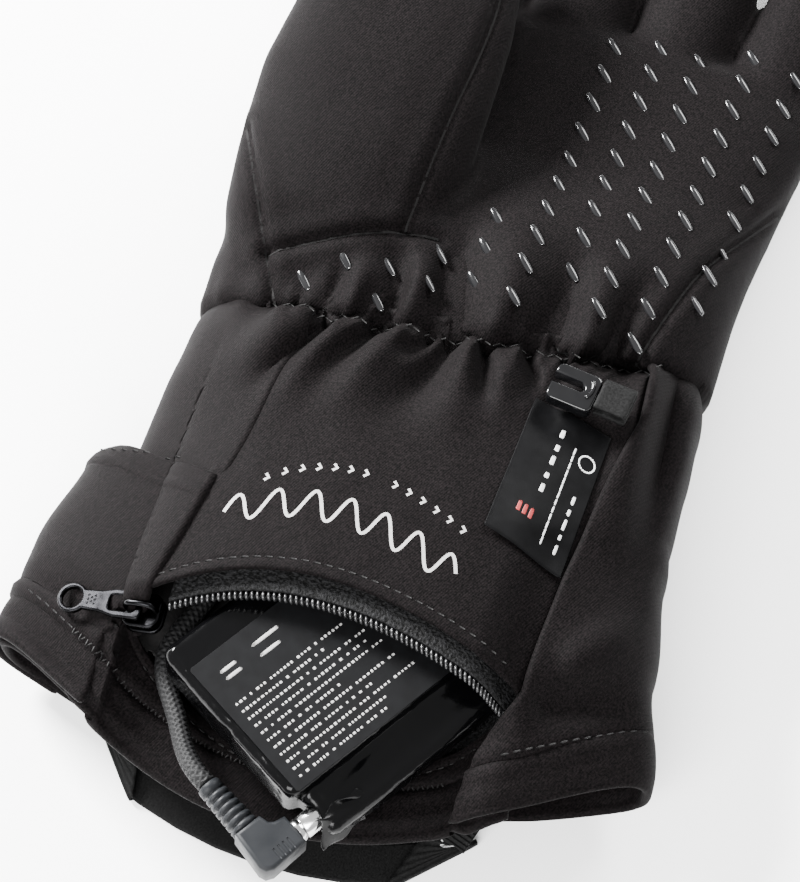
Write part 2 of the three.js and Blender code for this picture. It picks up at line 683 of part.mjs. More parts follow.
function makePack(group) {
  const cells = softPlate(PACK_WIDTH, PACK_LENGTH, PACK_THICK, 3, PACK_EDGE);
  cells.translate(PACK_WIDTH / 2, PACK_LENGTH / 2, 0);
  const boardLength = PACK_LENGTH - 2 * BOARD_INSET;
  const board = softPlate(BOARD_WIDTH + 4, boardLength, BOARD_THICK, 2.5, PACK_EDGE);
  board.translate(BOARD_MIDDLE - 1, PACK_LENGTH / 2, 0);
  const bore = BARREL_RADIUS + CLEARANCE;
  const socket = new THREE.CylinderGeometry(bore, bore, 2 * BARREL_LENGTH, 14);
  socket.translate(BOARD_MIDDLE, BOARD_INSET, BOARD_THICK / 2);
  const solid = toSolid(cells).add(toSolid(board)).subtract(toSolid(socket));
  addMesh("battery_pack", toGeometry(solid), "film", group);
  const label = new THREE.BoxGeometry(LABEL_WIDTH, LABEL_LENGTH, LABEL);
  const labelX = LABEL_MARGIN + LABEL_WIDTH / 2;
  label.translate(labelX, LABEL_START + LABEL_LENGTH / 2, PACK_THICK + CLEARANCE + LABEL / 2);
  addMesh("battery_label", label, "label", group);
}

// A right-angle plug: the barrel points into the pack, and the leg lies along the pack's end.
function makePlug(group) {
  const z = BOARD_THICK / 2;
  const face = BOARD_INSET - BARREL_SHOWN;
  const barrel = new THREE.CylinderGeometry(BARREL_RADIUS, BARREL_RADIUS, BARREL_LENGTH, 14);
  barrel.translate(BOARD_MIDDLE, face + BARREL_LENGTH / 2, z);
  addMesh("plug_barrel", barrel, "barrel", group);
  const legEnd = face - CLEARANCE - PLUG_WIDTH * 1.4;
  const shape = new THREE.Shape();
  const right = BOARD_MIDDLE + PLUG_WIDTH / 2;
  const left = right - PLUG_LEG;
  shape.moveTo(right - 2, legEnd);
  shape.lineTo(right, legEnd + 2);
  shape.lineTo(right - 0.6, face - CLEARANCE);
  shape.lineTo(right - PLUG_WIDTH + 0.6, face - CLEARANCE);
  shape.lineTo(right - PLUG_WIDTH, legEnd + PLUG_WIDTH);
  shape.lineTo(left, legEnd + PLUG_WIDTH - 0.6);
  shape.lineTo(left, legEnd + 0.6);
  const body = new THREE.ExtrudeGeometry(shape, { depth: PLUG_HEIGHT, bevelEnabled: false });
  body.translate(0, 0, z - PLUG_HEIGHT / 2);
  addMesh("plug_body", body, "rubber", group);
  const relief = new THREE.CylinderGeometry(LEAD_DIAMETER / 2 + 0.4, RELIEF_RADIUS, RELIEF_LENGTH, 12);
  relief.rotateZ(Math.PI / 2);
  relief.translate(left - CLEARANCE - RELIEF_LENGTH / 2, legEnd + PLUG_WIDTH / 2, z);
  addMesh("strain_relief", relief, "rubber", group);
}

function makeLead() {
  const points = LEAD_ROUTE.map(([x, y, z]) => new THREE.Vector3(x, y, z));
  const section = polygonSection(LEAD_DIAMETER / 2, 8);
  addMesh("lead", sweep(points, section, 2 * LEAD_ROUTE.length), "braid");
  const end = points[points.length - 1];
  const away = end.clone().sub(points[points.length - 2]).normalize();
  const grommet = new THREE.CylinderGeometry(LEAD_DIAMETER / 2, LEAD_DIAMETER / 2 + 0.8, GROMMET_LENGTH, 12);
  const mesh = addMesh("lead_grommet", grommet, "rubber");
  mesh.quaternion.setFromUnitVectors(new THREE.Vector3(0, 1, 0), away);
  mesh.position.copy(end).addScaledVector(away, GROMMET_LENGTH / 2 + CLEARANCE);
}

// The hang loop's middle line in plan: a tail out of the cuff, a fold, a sagging run, a fold, a tail.
function ribbonRuns() {
  const hem = WRIST_Y - CUFF_LENGTH - HEM_BULGE_BACK;
  const left = new THREE.Vector2(HEM_SHIFT - LOOP_LEFT * HEM_WIDTH, hem - LOOP_DROP_LEFT);
  const right = new THREE.Vector2(HEM_SHIFT + LOOP_RIGHT * HEM_WIDTH, hem - LOOP_DROP_RIGHT);
  const middle = [];
  const steps = 8;
  for (let i = 0; i <= steps; i += 1) {
    const share = i / steps;
    const point = left.clone().lerp(right, share);
    middle.push(point.setY(point.y - LOOP_SAG * 4 * share * (1 - share)));
  }
  const leftStart = new THREE.Vector2(left.x + LOOP_LEAN_LEFT, left.y + LOOP_TAIL);
  const rightEnd = new THREE.Vector2(right.x + LOOP_LEAN_RIGHT, right.y + LOOP_TAIL);
  return { leftStart, middle, rightEnd };
}

// A tail climbs from the table, past the back hem's edge, onto the inside of the cuff's back.
function tailLift(point, foldY, low) {
  const across = (point.x - HEM_SHIFT) / cuffHalf(point.x < HEM_SHIFT ? "left" : "right", 1);
  const edge = hemY(across, HEM_BULGE_BACK) - 1;
  return lerp(low, WALL + 5 * CLEARANCE, smooth((point.y - foldY) / (edge - foldY)));
}

// The ribbon's cross lines, each with its two edges, its lift off the table and which face is up.
function ribbonLines() {
  const { leftStart, middle, rightEnd } = ribbonRuns();
  const lines = [];
  const half = RIBBON_WIDTH / 2;
  const perpendicular = (direction) => new THREE.Vector2(-direction.y, direction.x);
  const straight = (point, direction, lift, face) => {
    const across = perpendicular(direction).multiplyScalar(half * face);
    const turn = face > 0 ? 0 : Math.PI;
    lines.push({ a: point.clone().add(across), b: point.clone().sub(across), lift, turn });
  };
  const fold = (point, before, after, lift, face) => {
    const along = before.clone().add(after).normalize();
    const across = perpendicular(before).multiplyScalar(face);
    const reach = along.clone().multiplyScalar(half / along.dot(across));
    const out = before.clone().sub(after).normalize();
    for (let i = 0; i <= 4; i += 1) {
      const bend = (Math.PI * i) / 4;
      const shift = out.clone().multiplyScalar(RIBBON_FOLD_RADIUS * Math.sin(bend));
      const a = point.clone().add(reach).add(shift);
      const b = point.clone().sub(reach).add(shift);
      const sink = RIBBON_FOLD_RADIUS * (1 - Math.cos(bend)) * face;
      lines.push({ a, b, lift: lift - sink, turn: face > 0 ? bend : Math.PI - bend, out });
    }
  };
  const top = 2 * RIBBON_FOLD_RADIUS;
  const first = middle[0];
  const last = middle[middle.length - 1];
  const inwards = first.clone().sub(leftStart).normalize();
  const outwards = rightEnd.clone().sub(last).normalize();
  const runStart = middle[1].clone().sub(first).normalize();
  const runEnd = last.clone().sub(middle[middle.length - 2]).normalize();
  for (let i = 0; i < 7; i += 1) {
    const point = leftStart.clone().lerp(first, i / 8);
    straight(point, inwards, tailLift(point, first.y, top), 1);
  }
  fold(first, inwards, runStart, top, 1);
  for (let i = 1; i < middle.length - 1; i += 1) {
    const direction = middle[i + 1].clone().sub(middle[i - 1]).normalize();
    straight(middle[i], direction, 0, -1);
  }
  fold(last, runEnd, outwards, 0, -1);
  for (let i = 2; i < 9; i += 1) {
    const point = last.clone().lerp(rightEnd, i / 8);
    straight(point, outwards, tailLift(point, last.y, top), 1);
  }
  return lines;
}

function makeHangLoop() {
  const up = new THREE.Vector3(0, 0, 1);
  const side = (point, line, sign) => {
    const centre = new THREE.Vector3(point.x, point.y, line.lift + RIBBON / 2);
    const outward = line.out ? new THREE.Vector3(line.out.x, line.out.y, 0) : new THREE.Vector3();
    const normal = up.clone().multiplyScalar(Math.cos(line.turn));
    normal.addScaledVector(outward, Math.sin(line.turn));
    return centre.addScaledVector(normal, (sign * RIBBON) / 2);
  };
  const lines = ribbonLines();
  const top = lines.map((line) => [side(line.a, line, 1), side(line.b, line, 1)]);
  const bottom = lines.map((line) => [side(line.a, line, -1), side(line.b, line, -1)]);
  addMesh("hang_loop", sheet(top, bottom), "ribbon");
}

// A point of the tag's upper face, across it and down from its sewn end.
function tagPoint(across, down) {
  const turn = degrees(TAG_TURN);
  const x = TAG_CORNER.x + across * Math.cos(turn) + down * Math.sin(turn) * TAG_SKEW;
  const y = TAG_CORNER.y + across * Math.sin(turn) * TAG_SLANT - down * Math.cos(turn);
  return new THREE.Vector3(x, y, cuffTop(x, y) + TAG_LIFT + TAG);
}

// The tag lies on the front panel from its sewn end at the wrist.
function makeTag() {
  const rows = 8;
  const columns = 4;
  const top = [];
  const bottom = [];
  for (let r = 0; r <= rows; r += 1) {
    const upperRow = [];
    for (let c = 0; c <= columns; c += 1) {
      upperRow.push(tagPoint((TAG_WIDTH * c) / columns, (TAG_LENGTH * r) / rows));
    }
    top.push(upperRow);
    bottom.push(upperRow.map((point) => point.clone().setZ(point.z - TAG)));
  }
  addMesh("woven_tag", sheet(top, bottom), "ribbon");
}

// The hook is a small block with a slot that opens at its side, and lies flat at the tag's top.
function makeHook() {
  const group = new THREE.Group();
  const x = TAG_CORNER.x + TAG_WIDTH * 0.42;
  const y = TAG_CORNER.y + HOOK_LENGTH * 0.25;
  let highest = 0;
  for (let across = -1; across <= 1; across += 0.25) {
    for (let down = -1; down <= 1; down += 0.25) {
      const under = cuffTop(x + (across * HOOK_WIDTH) / 2, y + (down * HOOK_LENGTH) / 2);
      highest = Math.max(highest, under);
    }
  }
  group.position.set(x, y, highest + TAG_LIFT + TAG + CLEARANCE);
  group.rotation.z = degrees(TAG_TURN);
  part.add(group);
  const block = toSolid(softPlate(HOOK_WIDTH, HOOK_LENGTH, HOOK_THICK, 2, 0.6));
  const slot = new THREE.BoxGeometry(HOOK_WIDTH * 0.7, HOOK_SLOT, 3 * HOOK_THICK);
  slot.translate(-HOOK_WIDTH * 0.2, HOOK_LENGTH * 0.08, HOOK_THICK / 2);
  addMesh("clip_hook", toGeometry(block.subtract(toSolid(slot))), "plastic", group);

  // The webbing that holds the hook is a strip folded back on itself beside it.
  const strip = [];
  const reach = WEBBING_WIDTH * 0.8;
  const bend = WEBBING * 1.3;
  for (let i = 0; i <= 4; i += 1) strip.push([0, (reach * i) / 4 - reach / 2, 0]);
  for (let i = 1; i < 5; i += 1) {
    const angle = (Math.PI * i) / 5;
    strip.push([0, reach / 2 + bend * Math.sin(angle), bend * (1 - Math.cos(angle))]);
  }
  for (let i = 4; i >= 0; i -= 1) strip.push([0, (reach * i) / 4 - reach / 2, 2 * bend]);
  const normals = strip.map((point, i) => {
    const before = strip[Math.max(0, i - 1)];
    const after = strip[Math.min(strip.length - 1, i + 1)];
    return new THREE.Vector3(0, -(after[2] - before[2]), after[1] - before[1]).normalize();
  });
  const left = HOOK_WIDTH / 2 + CLEARANCE;
  const layer = (sign) =>
    strip.map((point, i) => {
      const at = new THREE.Vector3(...point).addScaledVector(normals[i], (sign * WEBBING) / 2);
      return [at.clone().setX(left), at.clone().setX(left + WEBBING_WIDTH)];
    });
  const webbing = sheet(layer(1), layer(-1));
  webbing.translate(0, 0, WEBBING);
  addMesh("clip_webbing", webbing, "ribbon", group);
}

// A section of the palm. The inset is negative where a piece is grown to leave room round it.
function palmRing(along, inset, shift = 0) {
  const places = inset > 0 ? CAVITY_SHARES : CUFF_SHARES;
  const row = (column) => tableAt(PALM_SECTIONS, column, along);
  const half = lerp(WRIST_WIDTH, KNUCKLE_WIDTH, along) / 2;
  const left = half * row("left") - inset;
  const right = half * row("right") - inset;
  const height = PALM_HEIGHT * row("height");
  const fold = height * SIDE_FOLD_SHARE;
  const y = WRIST_Y + CLEARANCE + along * PALM_LENGTH + shift;
  return places.map((place) => {
    const x = (place.across < 0 ? left : right) * place.across;
    if (!place.front) {
      return new THREE.Vector3(x, y, Math.max(inset, fold - (fold + 1.5 - inset) * place.up));
    }
    const relief = gather(place.share, along / 0.12) * smooth(2 * place.up);
    const crown = height * (1 + row("lean") * place.across) + relief - inset;
    return new THREE.Vector3(x, y, fold + (crown - fold) * place.up);
  });
}

const PALM_RINGS = [0, 0.05, 0.12, 0.22, 0.32, 0.44, 0.56, 0.68, 0.82, 0.92, 0.97, 1];

function palmSolid(inset, before, after) {
  const rings = PALM_RINGS.map((along) => palmRing(along, inset));
  rings[0] = palmRing(0, inset, before);
  rings[rings.length - 1] = palmRing(1, inset, after);
  return toSolid(loft(rings));
}

function fingerSolid(finger, inset) {
  const sides = inset > 0 ? 10 : 14;
  const length = MIDDLE_FINGER * finger.length;
  const rootX = KNUCKLE_SHIFT + (finger.across - 0.5) * KNUCKLE_WIDTH;
  const rootY = WRIST_Y + 0.97 * PALM_LENGTH;
  const rings = FINGER_SECTIONS.map((section) => {
    const along = section.along * length - (section.along > 0.9 ? inset : 0);
    const halfWidth = (FINGER_WIDTH / 2) * section.width - inset;
    const halfHeight = (FINGER_HEIGHT / 2) * section.height - inset;
    const middle = FINGER_HEIGHT / 2 + 0.2 + FINGER_CURL * clamp01(section.along) ** 2;
    return Array.from({ length: sides }, (unused, i) => {
      const angle = (2 * Math.PI * i) / sides;
      const x = rootX + finger.spread * along + Math.max(0.8, halfWidth) * Math.cos(angle);
      return new THREE.Vector3(x, rootY + along, middle + Math.max(0.8, halfHeight) * Math.sin(angle));
    });
  });
  return toSolid(loft(rings));
}

function thumbSolid(inset) {
  const sides = inset > 0 ? 16 : 24;
  const start = WRIST_Y + 11;
  const rings = THUMB_SECTIONS.map((section) => {
    const halfWidth = Math.max(1, (THUMB_WIDTH / 2) * section.width - inset);
    const halfHeight = Math.max(1, (THUMB_HEIGHT / 2) * section.height - inset);
    const along = THUMB_LENGTH * section.along - (section.along > 0.9 ? inset : 0);
    return Array.from({ length: sides }, (unused, i) => {
      const angle = (2 * Math.PI * i) / sides;
      const across = Math.sign(Math.cos(angle)) * Math.abs(Math.cos(angle)) ** 0.85;
      const x = THUMB_X * section.x + halfWidth * across;
      const up = Math.sign(Math.sin(angle)) * Math.abs(Math.sin(angle)) ** 0.85;
      return new THREE.Vector3(x, start + along, THUMB_Z * section.z + halfHeight * up);
    });
  });
  return toSolid(loft(rings));
}

// All that lies on the cuff's side of the wrist's line.
function belowWrist() {
  const steps = 24;
  const outline = [];
  for (let i = 0; i <= steps; i += 1) {
    const x = WRIST_WIDTH * (i / steps - 0.5) * 1.2;
    outline.push([x, wristY((2 * x) / WRIST_WIDTH) + CLEARANCE]);
  }
  const hem = WRIST_Y - CUFF_LENGTH;
  outline.push([WRIST_WIDTH, hem], [-WRIST_WIDTH, hem]);
  return toSolid(prism(outline, -PALM_HEIGHT, 2 * PALM_HEIGHT));
}

function makeHand() {
  let outer = palmSolid(0, 0, 0);
  let inner = palmSolid(WALL, -5, -WALL);
  for (const finger of FINGERS) {
    outer = outer.add(fingerSolid(finger, 0));
    inner = inner.add(fingerSolid(finger, WALL));
  }
  const shell = outer.subtract(thumbSolid(-CLEARANCE)).subtract(inner).subtract(belowWrist());
  const [fingers, palm] = shell.splitByPlane([0, 1, 0], FINGER_START);
  addMesh("hand_shell", toGeometry(palm), "softshell");
  const above = fingers.trimByPlane([0, 1, 0], FINGER_START + CLEARANCE);
  const bodies = above.decompose().filter((body) => body.volume() > FINGER_WIDTH);
  bodies.sort((a, b) => a.boundingBox().min[0] - b.boundingBox().min[0]);
  FINGERS.forEach((finger, i) => addMesh(finger.name, toGeometry(bodies[i]), "softshell"));
  const thumb = thumbSolid(0).subtract(thumbSolid(WALL)).subtract(inner);
  addMesh("thumb", toGeometry(thumb), "softshell");
}

makeCuff();
makePocketLining();
makeZipSide("upper", upperLip, -1);
makeZipSide("lower", lowerLip, 1);
const slider = sliderFrame();
makeSlider(slider);
makePuller(slider);
const pack = packFrame();
makePack(pack);
makePlug(pack);
makeLead();
makeHangLoop();
makeTag();
makeHook();
makeHand();

export default part;
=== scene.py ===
import json
import math

import bpy
import numpy as np
from mathutils import Matrix, Vector
from mathutils.bvhtree import BVHTree


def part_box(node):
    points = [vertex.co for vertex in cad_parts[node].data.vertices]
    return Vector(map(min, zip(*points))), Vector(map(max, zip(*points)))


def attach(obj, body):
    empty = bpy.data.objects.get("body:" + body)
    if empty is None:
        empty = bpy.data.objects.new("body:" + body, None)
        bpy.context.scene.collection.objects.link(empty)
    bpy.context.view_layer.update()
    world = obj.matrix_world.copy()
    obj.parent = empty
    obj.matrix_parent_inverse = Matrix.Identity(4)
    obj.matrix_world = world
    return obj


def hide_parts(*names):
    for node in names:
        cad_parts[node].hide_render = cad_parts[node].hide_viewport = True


# A heated glove for the left hand, palm up, with its battery half out of the cuff's zipped pocket.
# Sizes are in millimetres, and MM turns them into the frame's metres. +X is the little finger's side,
# +Y the fingers, +Z out of the palm.
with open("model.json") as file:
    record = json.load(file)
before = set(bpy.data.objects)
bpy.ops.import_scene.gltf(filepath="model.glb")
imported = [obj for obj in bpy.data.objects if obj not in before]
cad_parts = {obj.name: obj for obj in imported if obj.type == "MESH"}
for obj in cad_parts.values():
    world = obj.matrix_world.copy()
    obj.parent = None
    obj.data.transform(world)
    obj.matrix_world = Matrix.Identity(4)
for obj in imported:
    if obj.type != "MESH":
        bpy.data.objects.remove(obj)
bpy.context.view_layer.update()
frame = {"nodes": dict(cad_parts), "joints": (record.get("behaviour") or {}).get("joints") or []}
MM = 0.001
QUARTER = math.pi / 2


def table(columns, *rows):
    """Rows of values under named columns."""
    return [dict(zip(columns.split(), row)) for row in rows]


# Camera
CAMERA_AZIMUTH = 17
CAMERA_ELEVATION = 64
CAMERA_DISTANCE = 700
CAMERA_TARGET = (-4, -27, 30)
CAMERA_LENS = 122.93
CAMERA_SENSOR = 36

# Cuff, as in the CAD
FRONT_ROUNDNESS = 2.8
SIDE_FOLD_SHARE = 0.46
CUFF_LENGTH = 88
WRIST_Y = -5
WRIST_RISE = 13
WRIST_TUCK = 3.4
HAND_TUCK = 4.5
HAND_DIP = 3.6
WRIST_WIDTH = 124
HEM_WIDTH = 151
HEM_SHIFT = -3
CUFF_HEIGHT = 42
HEM_BULGE_FRONT = 28
HEM_BULGE_BACK = 13
HEM_SLANT = 4
WALL = 3.4
CLEARANCE = 0.3
CUFF_OUTLINE = table(
    "along left under right crown",
    (0.0, -0.3, -0.3, -0.3, 0.98),
    (0.12, -0.25, -0.25, -0.12, 1.02),
    (0.25, -0.2, -0.2, -0.05, 1.02),
    (0.42, -0.2, -0.2, 0.02, 1.02),
    (0.5, 0.58, -0.16, 0.12, 0.99),
    (0.75, 0.87, 0.5, 0.45, 0.98),
    (1.0, 1.0, 0.85, 0.95, 0.72),
)

# Pocket mouth and its panels
MOUTH_LENGTH = 92
MOUTH_RISE = 13
MOUTH_DROP = 22
MOUTH_SLANT = 0.06
MOUTH_SHARE = 0.915
MOUTH_END_EASE = 0.16
MOUTH_X = HEM_SHIFT
MOUTH_Y = WRIST_Y - MOUTH_SHARE * CUFF_LENGTH
LIP_HEIGHT = 50
STRIP_HEIGHT = 21
LIP_THINNING = 0.55
LIP_REACH = 8
PANEL_WALL = 2.2
LIP_WALL = 1.5
STRIP_WALL = WALL - 0.4
BAND_WALL = 2.4
PANEL_LAP = 3.4
PANEL_TUCK = 1.3
PANEL_LIFT = 0.9
EDGE_ROLL = 1.6
STRIP_END_LIFT = 1.1
BODY_INSET = 1.2
BODY_RIGHT_LIFT = 1.9
BODY_LEFT_DIP = 0.9
BODY_BAND_DIP = 1.6
BAND_LIFT = 0.4
LIP_STITCH = 2.3
HEM_BAND = 11
HEM_SEAM_DEPTH = 0.75
HEM_ROLL = 1.5
BAND_START = 0.47
BAND_RING_START = 1.78
PANEL_LEFT = [(5, -42), (-16, -38.5), (-44, -41.6), (-68, -45.4), (-86, -49)]
PANEL_RIGHT = [(12, 47), (-12, 48.8), (-35, 45.4), (-54, 42.9), (-82, 41), (-99, 35.5), (-125, 33)]
STRIP_LEFT = -57

# Zip
TAPE_WIDTH = 6.5
TAPE = 0.8
TAPE_HIDDEN = 0.35
COIL = 1.9
COIL_PITCH = 1.25
COIL_WIRE = 0.34
COIL_STEPS = 14
SLIDER_LENGTH = 9
SLIDER_WIDTH = 8.4
SLIDER_HEIGHT = 4.2
BRIDGE_RISE = 3.2
BRIDGE_SEAT = 0.6
BRIDGE_RADIUS = 0.72
PULLER_LENGTH = 20
PULLER_THICK = 1.5
RING_OUTER = 3.6
RING_HOLE = 2.5
PULLER_LIE = 14

# Battery pack, in its own frame: X across the cells, Y along them into the pocket
PACK_WIDTH = 45
PACK_LENGTH = 59
PACK_THICK = 12.5
PACK_CORNER = (-38.5, -98, 30.5)
PACK_TURN = -32
PACK_DIP = -3
PACK_ROLL = 1.5
BOARD_WIDTH = 11
BOARD_THICK = 8.5
BOARD_INSET = 3
BOARD_MIDDLE = PACK_WIDTH + BOARD_WIDTH / 2 - 1
LABEL_WIDTH = 37
LABEL_LENGTH = 47
LABEL_MARGIN = 8
LABEL_THICK = 0.16
LABEL_LIFT = 0.55
LABEL_LINES = 11
LABEL_LINE_PITCH = 2.15
LABEL_BARS = table("x y length", (13, 9, 4.6), (15, 9, 4.6), (12.5, 20, 8), (15.5, 19, 6))
FLAP_WALL = 0.25

# Plug and lead
BARREL_RADIUS = 2.75
BARREL_GROOVE = 2.55
BARREL_SHOWN = 5
PLUG_WIDTH = 8.4
PLUG_HEIGHT = 7.6
PLUG_LEG = 11.5
GRIP_LINES = 4
GRIP_LINE_PITCH = 1.3
GRIP_LINE_SIZE = (3.4, 0.55, 0.4)
RELIEF_LENGTH = 13
RELIEF_RADIUS = 3.3
RELIEF_TIP_RADIUS = 2.75
RELIEF_RIBS = 6
RIB_DEPTH = 0.75
LEAD_DIAMETER = 0.0046
LEAD_STRANDS = 12
LEAD_TWIST = 9
LEAD_WEAVE = 0.16
LEAD_STEPS = 24
LEAD_SIDES = 60

# The lead's route in metres, from the plug's strain relief to the grommet inside the pocket.
LEAD_ROUTE = [
    (-0.01924, -0.12137, 0.03467),
    (-0.0217, -0.1198, 0.0343),
    (-0.0244, -0.1174, 0.0329),
    (-0.0270, -0.1142, 0.0310),
    (-0.0294, -0.1104, 0.0295),
    (-0.0318, -0.1064, 0.0285),
    (-0.0344, -0.1026, 0.0278),
    (-0.0372, -0.0984, 0.0275),
    (-0.0390, -0.0936, 0.0274),
    (-0.0386, -0.0884, 0.0274),
    (-0.0368, -0.0828, 0.0275),
    (-0.0348, -0.0772, 0.0276),
    (-0.0332, -0.0716, 0.0276),
    (-0.0322, -0.0662, 0.0276),
    (-0.0318, -0.0610, 0.0276),
]

# Hang loop, tag and hook
RIBBON_WIDTH = 10
RIBBON = 0.9
RIBBON_FOLD_RADIUS = 0.9
RIBBON_RIB = 1.1
RIBBON_RIB_DEPTH = 0.16
RIBBON_GROUND_GAP = 0.03
LOOP_LEFT = -46.5
LOOP_LEFT_DROP = 5
LOOP_LEFT_END = -50
LOOP_RIGHT = 30
LOOP_RIGHT_DROP = 7.5
LOOP_RIGHT_END = 37
LOOP_SAG = 8
LOOP_TAIL = RIBBON_WIDTH * 2
RIBBON_PRINTS = table("x y lean_x count", (-48.6, -98.5, -0.12, 2), (33.8, -101.5, 0.28, 3))
CHEVRON_PITCH = 3.8
CHEVRON_REACH = 1.3
TAG_WIDTH = 19
TAG_LENGTH = 37
TAG_WALL = 0.4
TAG_CORNER = (24.6, -13.2)
TAG_TURN = -8
HOOK_WIDTH = 11
HOOK_LENGTH = 9.5
HOOK_THICK = 4
HOOK_SLOT_TOP = 1.9
HOOK_SLOT_LOW = -0.5
HOOK_SLOT_END = HOOK_WIDTH / 2 - 3.2

# Grip dashes on the palm
DASH_LENGTH = 6.3
DASH_WIDTH = 2.0
DASH_HEIGHT = 1.2
DASH_PITCH = 9.5
DASH_TURN = 42
DASH_COLUMNS = table(
    "x lean start end",
    (-37, 0.0, 3, 8),
    (-29, 0.0, 5, 16),
    (-18.5, 0.0, 2, 20),
    (-8, 0.01, 4, 24),
    (2, 0.01, 3, 34),
    (12, 0.03, 5, 104),
    (22, 0.04, 4, 106),
    (31.5, 0.05, 8, 106),
    (41.5, 0.07, 9, 106),
    (51, 0.09, 20, 106),
)

# Folds of the pocket's panel, in plan, from the wrist's gathers: height is a ridge, or a valley below 0.
PANEL_FOLDS = table(
    "x y end_x end_y width end_width height",
    (-34, -7, -43, -30, 3.2, 7, 2.2),
    (-29, -6, -38, -34, 1.6, 4, -3.0),
    (-23, -5, -33, -40, 3.0, 7, 2.4),
    (-16, -3, -27, -32, 2.0, 5, -3.0),
    (-10, -3, -20, -38, 3.0, 7, 2.2),
    (-5, -3, -9, -14, 1.4, 3, -2.2),
    (1, -2, -7, -34, 2.2, 6, -3.5),
    (6, -2, 6, -34, 3.0, 7, 2.3),
    (10, -1, 14, -22, 1.4, 3, -3.2),
    (15, -1, 20, -26, 2.6, 5, 1.9),
    (19, -1, 24, -16, 1.4, 3, -2.4),
    (27, 0, 30, -26, 2.2, 4, -1.9),
    (46, 0, 52, -52, 3, 5, 2.2),
    (53, 0, 60, -48, 2.4, 5, -3.0),
    (59, -10, 64, -66, 3, 6, 1.9),
    (46, -84, 67, -72, 4.4, 7, -2.9),
    (50, -72, 66, -58, 4, 7, 1.9),
)

# Folds that run from the gathers up into the palm.
PALM_FOLDS = table(
    "x y end_x end_y width end_width height",
    (1, 1, -7, 32, 3.4, 6, -4.7),
    (-10, 2, -13, 20, 3.2, 5, 2.3),
    (-15, 2, -18, 20, 2.2, 4, -2.6),
    (-23, 1, -26, 14, 3.0, 4, 1.6),
    (-29, 0, -30, 12, 1.8, 3, -1.8),
    (10, 3, 8, 44, 4.4, 8, 2.3),
    (22, 4, 24, 34, 3.0, 6, -3.1),
    (30, 5, 33, 34, 3.0, 6, 2.1),
    (38, 6, 42, 30, 2.2, 4, -2.3),
)
FOLD_DEPTH = 1.35

# The wrist's elastic and its puckers: pitch, size and width lie between two numbers.
ELASTIC_START = -44
ELASTIC_END = 50
ELASTIC_PINCH = 2.6
ELASTIC_HOLLOW = 1.2
PUCKER_DEPTH = 1.7
PUCKER_LEAN = 0.35
PUCKER_PITCH = (3.2, 5.4)
PUCKER_SIZE = (0.5, 1.1)
PUCKER_WIDTH = (1.1, 1.9)

# The hand, and the print over the pocket
HAND_NODES = ["hand_shell", "thumb", "index_finger", "middle_finger", "ring_finger", "little_finger"]
HAND_VOXEL = 1.35
HAND_SMOOTHING = 18
SMALL_VOXEL = 0.7
WEBBING_VOXEL = 0.4
SEAM_WIDTH = 0.55
PRINT_LEFT = -27
PRINT_RIGHT = 19
PRINT_Y = -54.5
PRINT_ARCH = 7
PRINT_MARKS = 14
WAVE_HEIGHT = 3.6
WAVE_COUNT = 6.5

# Points of the grids, rows by columns, and steps of the round pieces
PANEL_GRID = (170, 210)
STRIP_GRID = (80, 230)
BODY_GRID = (150, 280)
BAND_GRID = (110, 170)
TAPE_GRID = (200, 14)
TAG_GRID = (60, 32)
FLAP_GRID = (16, 22)
RIBBON_STEPS = 640
RIBBON_COLUMNS = 15
RIM_STEPS = 4
BEVEL_STEPS = 3
ROUND_SIDES = 40
GROUND_GAP = 0.05
CLEAR_OF_CLOTH = 0.6

# Seams of the hand, in plan
THUMB_FRONT_SEAM = [(-47.7, 7.2), (-38, 11.5), (-27, 16.5), (-17.5, 20.5), (-9, 22.5)]
THUMB_RIGHT_SEAM = [(-17.5, 21), (-15.1, 49), (-13.3, 65), (-12.5, 80), (-14, 98)]
THUMB_LEFT_SEAM = [(-41.3, -5), (-44.5, 1), (-47.7, 7.2), (-54, 20), (-62.5, 37.7)]
PALM_SEAM = [(43.5, 4.5), (46.5, 16), (52, 34.8), (60, 52), (67, 68.6), (72, 84)]


def lerp(low, high, share):
    return low + (high - low) * share


def smooth(value):
    value = np.clip(value, 0.0, 1.0)
    return value * value * (3 - 2 * value)


def hump(value):
    return np.exp(-value * value)


def table_at(outline, column, along):
    """One column of a table at places between its rows, eased from row to row."""
    rows = np.array([row["along"] for row in outline])
    values = np.array([row[column] for row in outline])
    row = np.clip(np.searchsorted(rows, along, side="right") - 1, 0, len(rows) - 2)
    share = (along - rows[row]) / (rows[row + 1] - rows[row])
    return lerp(values[row], values[row + 1], smooth(share))


def edge_at(points, y):
    """The x of an edge that is given as (y, x) points from the fingers' side to the hem."""
    ordered = sorted(points)
    return np.interp(y, [point[0] for point in ordered], [point[1] for point in ordered])


def unit_grid(rows, columns):
    """Shares from 0 to 1 down the rows and across the columns of a grid."""
    return np.meshgrid(np.linspace(0, 1, rows), np.linspace(0, 1, columns), indexing="ij")


def lengths_along(path):
    """How far along a path each of its points lies."""
    return np.concatenate([[0], np.cumsum(np.linalg.norm(np.diff(path, axis=0), axis=1))])


def unit(vectors):
    """Vectors along the last axis, made one long."""
    return vectors / np.maximum(np.linalg.norm(vectors, axis=-1, keepdims=True), 1e-9)


def joined(parts):
    """Several parts, each of points and faces, as one mesh's points and faces."""
    points, faces = [], []
    for part_points, part_faces in parts:
        start = len(points)
        points.extend(part_points)
        faces.extend([start + i for i in face] for face in part_faces)
    return points, faces


# The cuff's surface, as in the CAD

def wrist_y(across):
    return WRIST_Y + WRIST_RISE * ((1 + across) / 2) ** 2


